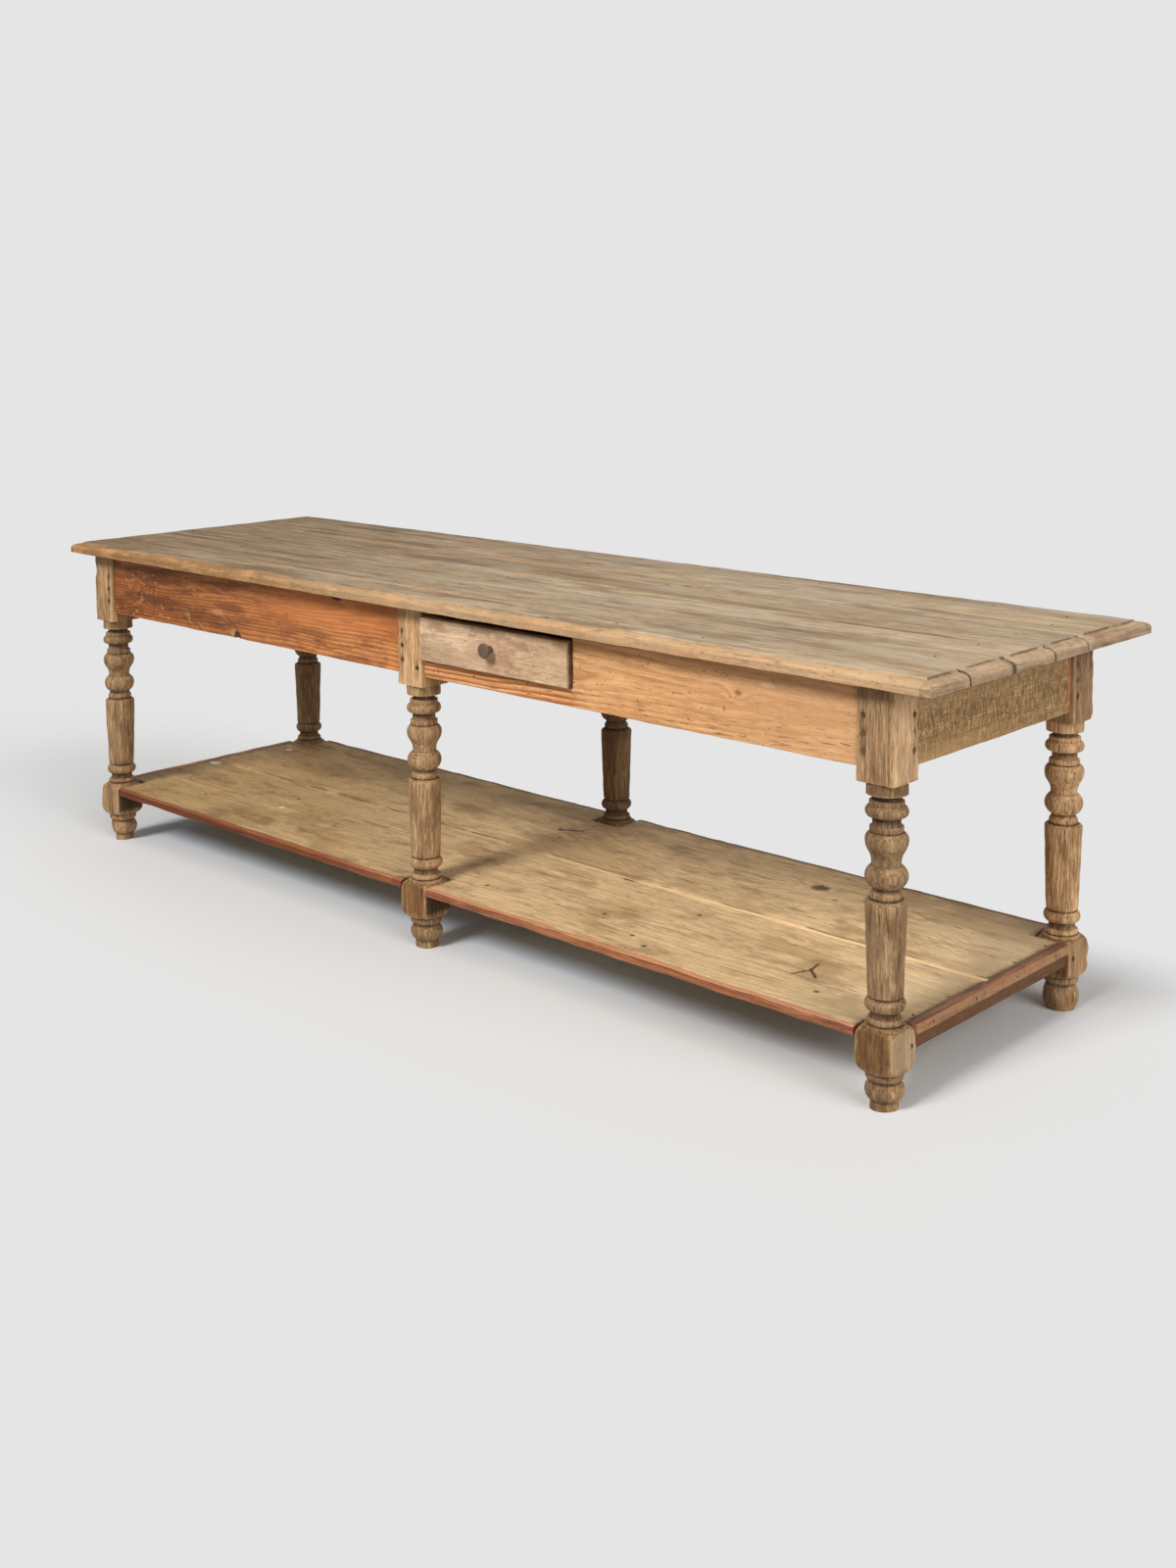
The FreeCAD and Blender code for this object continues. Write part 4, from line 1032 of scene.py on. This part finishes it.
def sawn_oak():
    wood = Wood("apron_oak", (176, 138, 92), (124, 90, 54), ring=0.0065, contrast=0.4, waver=0.01,
                streak=0.3, pore=0.4, line=0.3)
    slant = (wood.y + wood.z * 0.5 + wood.ragged(0.05, 5.0, 0.7) * 0.004) / SAW_PITCH
    teeth = (slant.part_turn() - 0.5).size() * 2.0
    rough = wood.ragged(0.012, 5.0, 0.75)
    wood.height = wood.height + teeth * 1.2 + rough * 0.8
    wood.colour = shaded(wood.colour, 0.86 + teeth * 0.26 + rough * 0.12)
    torn = wood.blots((0.03, 0.0055, 0.0055), 0.54, 0.66, 4.0, 0.75, wood.grain)
    hacked = wood.blots((0.1, 0.006, 0.022), 0.48, 0.6, 4.0, 0.75)
    wood.stain((206, 172, 128), wood.blots((0.1, 0.0075, 0.02), 0.5, 0.6, 4.0, 0.75) * 0.6)
    wood.crack(torn.most(hacked) * (wood.z.rise(0.63, 0.7) * 0.35 + 0.35))
    # Painted light: the upper part is lightened against the shade under the top's overhang.
    wood.stain((214, 174, 124), wood.z.rise(0.66, 0.74) * 0.42)
    wood.stain((186, 146, 100), (wood.z + rough * 0.012).rise(0.66, 0.62) * wood.y.rise(0.2, -0.2) * 0.6)
    wood.stain((182, 106, 64), wood.y.rise(0.258, 0.263) * wood.x.rise(0.0, 0.1) * 0.6)
    wood.weather((184, 146, 104), (70, 48, 30), wear=0.5)
    return wood.close(rough=0.78, relief=0.0012)


finishes.update(apron_red_pine=red_pine(), apron_pine=orange_pine(), apron_oak=sawn_oak())
print("finishes", sorted(finishes))

# %% Fit the aprons
def between(node, axis, first, second):
    """The box of a rail without its tenons, from one leg to the next."""
    low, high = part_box(node)
    low[axis], high[axis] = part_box(first)[1][axis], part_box(second)[0][axis]
    return low, high


def apron(node, axis, first, second, slot, pith, tilt=(0.0, 0.0), cuts=(), seed=0, hole=None):
    low, high = between(node, axis, first, second)
    marks = ([hole[0] + k * hole[1] / 6 for k in range(-7, 8)], ()) if hole else ((), ())
    board = Board(low, high, axis, 1 - axis, cuts, seed=seed, marks=marks)
    board.worn(arris=0.0018).nibbled((2,), amount=0.0008, pitch=0.2)
    # Darker at the ends beside the legs, and along the top edge under the top, where it is painted shade as
    # well as dirt.
    board.grime_and_shade = 0.8 * np.exp(-board.ends / 0.006) + 0.7 * np.exp(-board.gaps[3] / 0.012)
    board.wear = np.exp(-board.gaps[2] / 0.004)
    if hole:
        arch = np.sqrt(np.clip(hole[1] ** 2 - (board.s - hole[0]) ** 2, 0, None))
        board.t = board.t + arch * np.clip(1 - (board.t - low.z) / 0.04, 0, 1)
    return board.hang(f"{node}_sawn", slot, "table", node, pith, tilt)


MOUSE_HOLE = (-0.664, 0.007)
DRAWER_CUT = (0.0, 0.460, 0.655, 0.80)
aprons = [
    apron("apron_front_left", 0, "leg_front_left", "leg_front_middle", "apron_red_pine",
          (0.735, -0.30), (0.0, 0.014), seed=11, hole=MOUSE_HOLE),
    apron("apron_front_right", 0, "leg_front_middle", "leg_front_right", "apron_pine",
          (0.688, -0.318), (0.004, 0.035), [DRAWER_CUT], seed=12),
    apron("apron_back_left", 0, "leg_back_left", "leg_back_middle", "apron_red_pine",
          (0.66, 0.26), (0.0, 0.02), seed=13),
    apron("apron_back_right", 0, "leg_back_middle", "leg_back_right", "apron_pine",
          (0.72, 0.28), (0.0, -0.03), seed=14),
    apron("apron_end_left", 1, "leg_front_left", "leg_back_left", "apron_oak", (0.69, -1.20), seed=15),
    apron("apron_end_right", 1, "leg_front_right", "leg_back_right", "apron_oak", (0.69, 1.14), seed=16)]
print("aprons", [a.name for a in aprons])

# %% [markdown]
# ## The shelf
# Two wide boards, notched round the legs and nailed to three stretchers, with a strip of redder wood
# along each end. Bolts of cloth have polished the boards to an olive tan and worn the front arris to a
# small red bevel.

# %% Woods of the shelf
SHELF_FACE = 0.15
STAR = (0.930, -0.181)
STAR_ENDS = ((0.913, -0.226), (0.9235, -0.143), (0.965, -0.213))
SHELF_KNOTS = (
    ((0.656, 0.231, SHELF_FACE), (0.024, 0.013, 0.05)), ((0.728, 0.181, SHELF_FACE), (0.013, 0.008, 0.05)),
    ((-0.32, 0.12, SHELF_FACE), (0.16, 0.06, 0.3)), ((-0.02, 0.05, SHELF_FACE), (0.12, 0.05, 0.3)),
    ((0.86, 0.12, SHELF_FACE), (0.14, 0.05, 0.3)))
SHELF_PATINAS = (
    ((166, 132, 84), 0.5, (0.22, 0.12), 0.47, 0.6), ((140, 106, 62), 0.5, (0.17, 0.09), 0.53, 0.65),
    ((112, 82, 48), 0.45, (0.26, 0.022), 0.59, 0.68), ((150, 104, 60), 0.5, (0.2, 0.03), 0.57, 0.66),
    ((60, 42, 26), 0.7, (0.012, 0.008), 0.73, 0.77, 2.0),
    ((236, 226, 206), 0.7, (0.012, 0.009), 0.75, 0.78, 2.0))
SHELF_SPOTS = (
    ((0.94, -0.165, SHELF_FACE), (0.06, 0.05, 0.1), (150, 116, 70), 0.45),
    ((0.024, -0.354, 0.145), (0.014, 0.012, 0.012), (232, 190, 142), 0.8),
    ((-0.078, -0.35, 0.145), (0.02, 0.016, 0.02), (70, 44, 30), 0.7),
    ((0.104, -0.252, SHELF_FACE), (0.008, 0.006, 0.1), (120, 44, 28), 0.9),
    ((1.005, -0.266, SHELF_FACE), (0.008, 0.006, 0.1), (44, 30, 20), 0.9),
    ((0.308, -0.008, SHELF_FACE), (0.03, 0.012, 0.1), (56, 38, 24), 0.9),
    ((0.657, 0.226, SHELF_FACE), (0.024, 0.022, 0.1), (84, 55, 34), 0.85))
SHELF_HOLES = (
    (0.609, -0.303), (0.551, -0.273), (0.573, -0.085), (0.4215, -0.215), (-0.980, -0.231), (-0.762, -0.097))
SHELF_PAINT = ((-1.2265, -0.0255, 0.02), (-0.732, -0.1745, 0.011), (-1.194, 0.205, 0.012))


def shelf_oak():
    wood = Wood("shelf_oak", (232, 199, 150), (186, 150, 100), ring=0.011, contrast=0.42, waver=0.04,
                streak=0.3, pore=0.35, line=0.2, knots=SHELF_KNOTS)
    wood.marked(SHELF_PATINAS)
    wood.wash((212, 202, 180), wood.border((0.3, 0.3, 0.3), 0.15, 0.3, -1.2))
    wood.stain((226, 200, 164), wood.x.rise(0.85, 1.25) * 0.4)
    wood.checks(0.6, 0.3, 0.012)
    for end in STAR_ENDS:
        wood.scratch(Vector(STAR) * 1.12 - Vector(end) * 0.12, end, 0.0034, 1.0)
    wood.marked(spots=SHELF_SPOTS)
    wood.scratch((-0.08, 0.155), (-0.014, 0.191), 0.005, 1.0)
    for x, y in SHELF_HOLES:
        wood.spot((x, y, SHELF_FACE), (0.0065, 0.006, 0.1), (78, 48, 28), 0.9)
    for x, y, reach in SHELF_PAINT:
        wood.spot((x, y, SHELF_FACE), (reach, reach * 0.7, 0.1), (240, 232, 220), 0.9)
    wood.weather((238, 204, 158), (60, 41, 25))
    joint_marks(wood)
    edge_marks(wood)
    return wood.close(rough=0.6)


def joint_marks(wood):
    """The chamfer beside the joint of the two boards, paler as worn wood and as a painted highlight, and the
    broken crack beside it.
    """
    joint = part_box("shelf_board_back")[0].y
    beside = wood.y - joint + wood.ragged(0.04) * 0.0012
    gappy = wood.blots((0.07, 0.5, 0.5), 0.42, 0.55, 3.0, 0.5)
    bare_and_lit = beside.rise(-0.002, 0.001) * beside.rise(0.015, 0.010)
    wood.stain((242, 204, 152), bare_and_lit * (wood.x.rise(-0.6, 0.7) * 0.7) * (gappy * 0.6 + 0.6))
    wood.crack(((beside - 0.0125) / 0.0022).bell() * gappy * 0.75)


def edge_marks(wood):
    """The red front and back edges of the shelf, streaked along their length."""
    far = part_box("shelf_board_back")[1].y
    wood.stain((92, 58, 38), wood.y.rise(far - 0.018, far - 0.008) * 0.75)
    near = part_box("shelf_board_front")[0].y
    outer = wood.y.rise(near + 0.03, near + 0.01).most(wood.y.rise(far - 0.03, far - 0.01))
    rim = wood.facing(2).size().rise(0.7, 0.3) * outer
    arris = (wood.y + wood.ragged(0.06, 4.0) * 0.002).rise(near + 0.0125, near + 0.0095)
    wood.stain((186, 120, 88), arris * (1.0 - rim) * 0.75)
    wood.stain((150, 86, 56), rim * 0.5)
    wood.wash((206, 160, 140), rim * 0.9)
    wood.stain((92, 50, 36), rim * wood.blots((0.14, 0.1, 0.0035), 0.48, 0.62) * 0.7)
    wood.stain((190, 130, 96), rim * wood.blots((0.09, 0.2, 0.005), 0.56, 0.68) * 0.55)
    wood.wash((192, 170, 150), rim.most(arris) * wood.x.rise(0.2, -0.5))


def lipping_wood():
    wood = Wood("lipping_wood", (164, 115, 83), (104, 67, 44), ring=0.004, contrast=0.7, waver=0.003,
                streak=0.4, pore=0.35, line=0.45)
    wood.patina((104, 68, 46), 0.6, (0.12, 0.012), 0.48, 0.6)
    wood.weather((204, 158, 114), (56, 35, 22), wear=0.75)
    return wood.close(rough=0.6)


def stretcher_oak():
    wood = Wood("stretcher_oak", (98, 66, 41), (62, 39, 23), ring=0.0045, contrast=0.6, waver=0.004,
                streak=0.22, pore=0.4, line=0.3)
    wood.weather((140, 102, 70), (48, 32, 20), wear=0.5)
    return wood.close(rough=0.72)


finishes.update(shelf_oak=shelf_oak(), lipping_wood=lipping_wood(), stretcher_oak=stretcher_oak())
print("finishes", sorted(finishes))

# %% Lay the shelf
NOTCH_GAP, PAST_EDGE = 0.002, 0.05
FRONT_EDGE, BACK_EDGE = 2, 3
CHAMFER_DEPTH, BEVEL_DEPTH, BEVEL_WIDTH = 0.0045, 0.003, 0.012
STAR_GRID = (np.arange(0.906, 0.972, 0.0022), np.arange(-0.228, -0.140, 0.0022))


def notches(low, high):
    """The rectangles that the legs take out of a shelf board, open at the board's outer edge."""
    cuts = []
    for node in LEGS:
        a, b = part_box(node)
        if low.y < (a.y + b.y) / 2 < high.y:
            before, behind = (PAST_EDGE, NOTCH_GAP) if a.y < 0 else (NOTCH_GAP, PAST_EDGE)
            cuts.append((a.x - NOTCH_GAP, b.x + NOTCH_GAP, a.y - before, b.y + behind))
    return cuts


def shelf_board(node, seed, pith, tilt, outer, chamfer_width, star=()):
    """A shelf board. The outer edge faces out of the table, and the other one is the joint of the boards."""
    low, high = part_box(node)
    fine = STAR_GRID if star else ((), ())
    board = Board(low, high, 0, 2, notches(low, high), step=0.024, seed=seed, fine=fine)
    board.worn(arris=0.002, dents=0.0006)
    joint = board.gaps[BACK_EDGE if outer == FRONT_EDGE else FRONT_EDGE]
    chamfer = np.clip(1 - joint / chamfer_width, 0, 1)
    board.front = board.front - CHAMFER_DEPTH * chamfer
    if outer == FRONT_EDGE:
        board.front = board.front - BEVEL_DEPTH * np.clip(1 - board.gaps[outer] / BEVEL_WIDTH, 0, 1)
    # The chamfer at the joint is paler: worn wood, and a painted highlight on its arris.
    rubbed_and_lit = np.sqrt(chamfer) * np.clip((board.s + 0.6) / 1.2, 0, 1)
    board.wear = 1.2 * rubbed_and_lit + 0.6 * np.exp(-board.edge / 0.003)
    # Beside the notches round the legs the board is darkened as painted shade; along the joint it is a dark
    # joint line.
    cut_gap = np.where(np.minimum(board.gaps[2], board.gaps[3]) > board.edge + TINY, board.edge, 1.0)
    board.grime_and_shade = 0.9 * np.exp(-cut_gap / 0.012) + 0.8 * np.exp(-joint / 0.0009)
    board.grime_and_shade = board.grime_and_shade + 0.6 * np.exp(-board.ends / 0.006)
    for end in star:
        board.furrow(STAR, end, 0.0024, 0.003)
    board.nibbled((outer,), amount=0.0012, pitch=0.16, nick=0.003)
    return board.hang(f"{node}_laid", "shelf_oak", "table", node, pith, tilt)


def strip(node, slot, seed, low=None, high=None, tone=0.0):
    """A narrow piece that runs from front to back."""
    low, high = (low, high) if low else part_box(node)
    board = Board(low, high, 1, 2, seed=seed).worn(arris=0.0018)
    board.wear = 0.6 * np.exp(-board.edge / 0.004)
    pith = ((low.x + high.x) / 2, low.z - 0.05)
    return board.hang(f"{node}_worn", slot, "table", node, pith, tone=tone)


shelf = [shelf_board("shelf_board_front", 21, (-0.19, 0.085), (0.01, -0.03), FRONT_EDGE, 0.0015, STAR_ENDS),
         shelf_board("shelf_board_back", 22, (0.2, 0.08), (-0.01, 0.03), BACK_EDGE, 0.010)]
lippings = [strip("shelf_lipping_left", "lipping_wood", 23, tone=0.35),
            strip("shelf_lipping_right", "lipping_wood", 24)]
stretchers = [strip(f"stretcher_{place}", "stretcher_oak", 25 + n,
                    *between(f"stretcher_{place}", 1, f"leg_front_{place}", f"leg_back_{place}"))
              for n, place in enumerate(("left", "middle", "right"))]
print("shelf", len(shelf), "boards,", len(lippings), "lippings,", len(stretchers), "stretchers")

# %% [markdown]
# ## The drawer
# The drawer's front is a paler wood, a little pink, with a stain low on the left and a turned knob. Its
# sides, back and bottom keep the measured solids, because the dovetails are already there, and take a plain
# finish whose grain is counted from their own place.

# %% Woods of the drawer
# Painted shade of the dark gap beside the drawer.
GAP_SHADE_BROWN = (72, 46, 29)


def drawer_front_wood():
    wood = Wood("drawer_front_wood", (242, 208, 170), (212, 173, 135), ring=0.011, contrast=0.4,
                waver=0.014, streak=0.24, pore=0.3, line=0.24)
    wood.patina((166, 128, 96), 0.65, (0.12, 0.05), 0.47, 0.6)
    wood.patina((70, 46, 30), 0.8, (0.016, 0.0035), 0.7, 0.75)
    low_left = apart(wood.place, (0.05, -0.36, 0.665), (0.16, 0.1, 0.05))
    low_left = low_left + wood.ragged(0.05, 5.0, 0.7) * 0.25
    wood.stain((120, 84, 58), low_left.rise(1.1, 0.4) * 0.45)
    wood.wash((222, 214, 204), wood.x.rise(0.22, 0.4) * 0.7)
    wood.spot((0.237, -0.363, 0.7), (0.1, 0.1, 0.04), (178, 126, 96), 0.35)
    wood.checks(0.6, 0.3, 0.01)
    wood.worms(0.7, 0.8)
    wood.weather((216, 186, 152), (96, 68, 46), wear=0.5)
    # The right end of the front: its darker end grain, and the painted shade of the gap beside it.
    wood.stain(GAP_SHADE_BROWN, wood.facing(0).rise(0.5, 0.9) * wood.y.rise(-0.3575, -0.3555) * 0.85)
    return wood.close(rough=0.6)


def plain_grain(order, offset):
    """Grain counted from the part's own place; order names the axes along, across and into the wood."""
    def read(finish, place):
        parts = split(place)
        sockets = {k: parts[a] + offset[k] for k, a in enumerate(order)}
        return finish.make("ShaderNodeCombineXYZ", {}, sockets)
    return read


def plain_wood(slot, pale, dark, order, offset, ring=0.006, gap_shaded_front=False):
    """A quiet wood for a piece that keeps its solid."""
    grain = plain_grain(order, offset)
    wood = Wood(slot, pale, dark, ring=ring, contrast=0.5, streak=0.18, pore=0.2, grain=grain)
    wood.patina((150, 112, 74), 0.4)
    # The front of the sides, seen in the gap: painted shade.
    if gap_shaded_front:
        wood.stain(GAP_SHADE_BROWN, wood.y.rise(-0.338, -0.342) * wood.facing(0).rise(0.5, 0.9) * 0.8)
    return wood.close(rough=0.7)


PLAIN_WOODS = {
    "drawer_wood": ((204, 170, 128), (168, 128, 86), (1, 2, 0), (0.0, -0.64, 0.1), 0.006, True),
    "inner_pine": ((182, 136, 92), (138, 94, 56), (1, 2, 0), (4.0, -0.6, 0.3)),
    "knob_wood": ((112, 95, 82), (76, 61, 50), (1, 0, 2), (2.0, -0.2, -0.68), 0.003),
    "peg_wood": ((72, 49, 32), (42, 27, 17), (1, 0, 2), (7.0, 0.3, -0.6), 0.002)}
finishes["drawer_front_wood"] = drawer_front_wood()
for slot, made in PLAIN_WOODS.items():
    finishes[slot] = plain_wood(slot, *made)
print("finishes", sorted(finishes))

# %% Fit the drawer front
END_CLEARANCE = 0.0006


def drawer_front():
    low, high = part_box("drawer_front")
    low.x, high.x = low.x + END_CLEARANCE, high.x - END_CLEARANCE
    board = Board(low, high, 0, 1, step=0.016, seed=41).worn(arris=0.0018, dents=0.0005)
    board.wear = np.exp(-board.edge / 0.004)
    board.grime_and_shade = 0.55 * np.exp(-board.edge / 0.0025)
    pith, tilt = (0.66, -0.30), (0.0, 0.05)
    return board.hang("drawer_front_worn", "drawer_front_wood", "drawer", "drawer_front", pith, tilt)


front = drawer_front()
print("drawer front", len(front.data.vertices))

# %% Dress the parts that keep their solids
def iron():
    """Old nails: dark iron under patches of rust."""
    material, finish = new_material("nail_iron")
    place = finish.make("ShaderNodeTexCoord", output="Object")
    rust = speckle(finish, place, (0.004, 0.004, 0.004), 4.0, 0.7).rise(0.35, 0.65)
    colour = mixed(tint(58, 50, 45), tint(112, 66, 38), rust)
    shader = finish.make("ShaderNodeBsdfPrincipled", {}, {
        "Base Color": colour, "Metallic": 1.0 - rust * 0.8, "Roughness": rust * 0.35 + 0.45})
    finish.make("ShaderNodeOutputMaterial", {}, {"Surface": shader})
    return material


finishes["nail_iron"] = iron()
KEPT = {"drawer_wood": ["drawer_side_left", "drawer_side_right", "drawer_back", "drawer_bottom"],
        "inner_pine": ["middle_rail", "drawer_runner_left", "drawer_runner_right", "drawer_stops"],
        "knob_wood": ["drawer_knob"], "peg_wood": ["apron_pegs", "stretcher_pegs"],
        "nail_iron": ["top_nails", "shelf_nails", "lipping_nails"]}
for slot, nodes in KEPT.items():
    for node in nodes:
        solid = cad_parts[node]
        solid.data.materials.clear()
        solid.data.materials.append(finishes[slot])
print("kept solids", sum(len(nodes) for nodes in KEPT.values()))

# %% [markdown]
# ## The view transform
# The dressed table must keep the size of the measured one. The last cell sets the Standard view transform.

# %% Set the view transform
bpy.context.scene.view_settings.view_transform = "Standard"
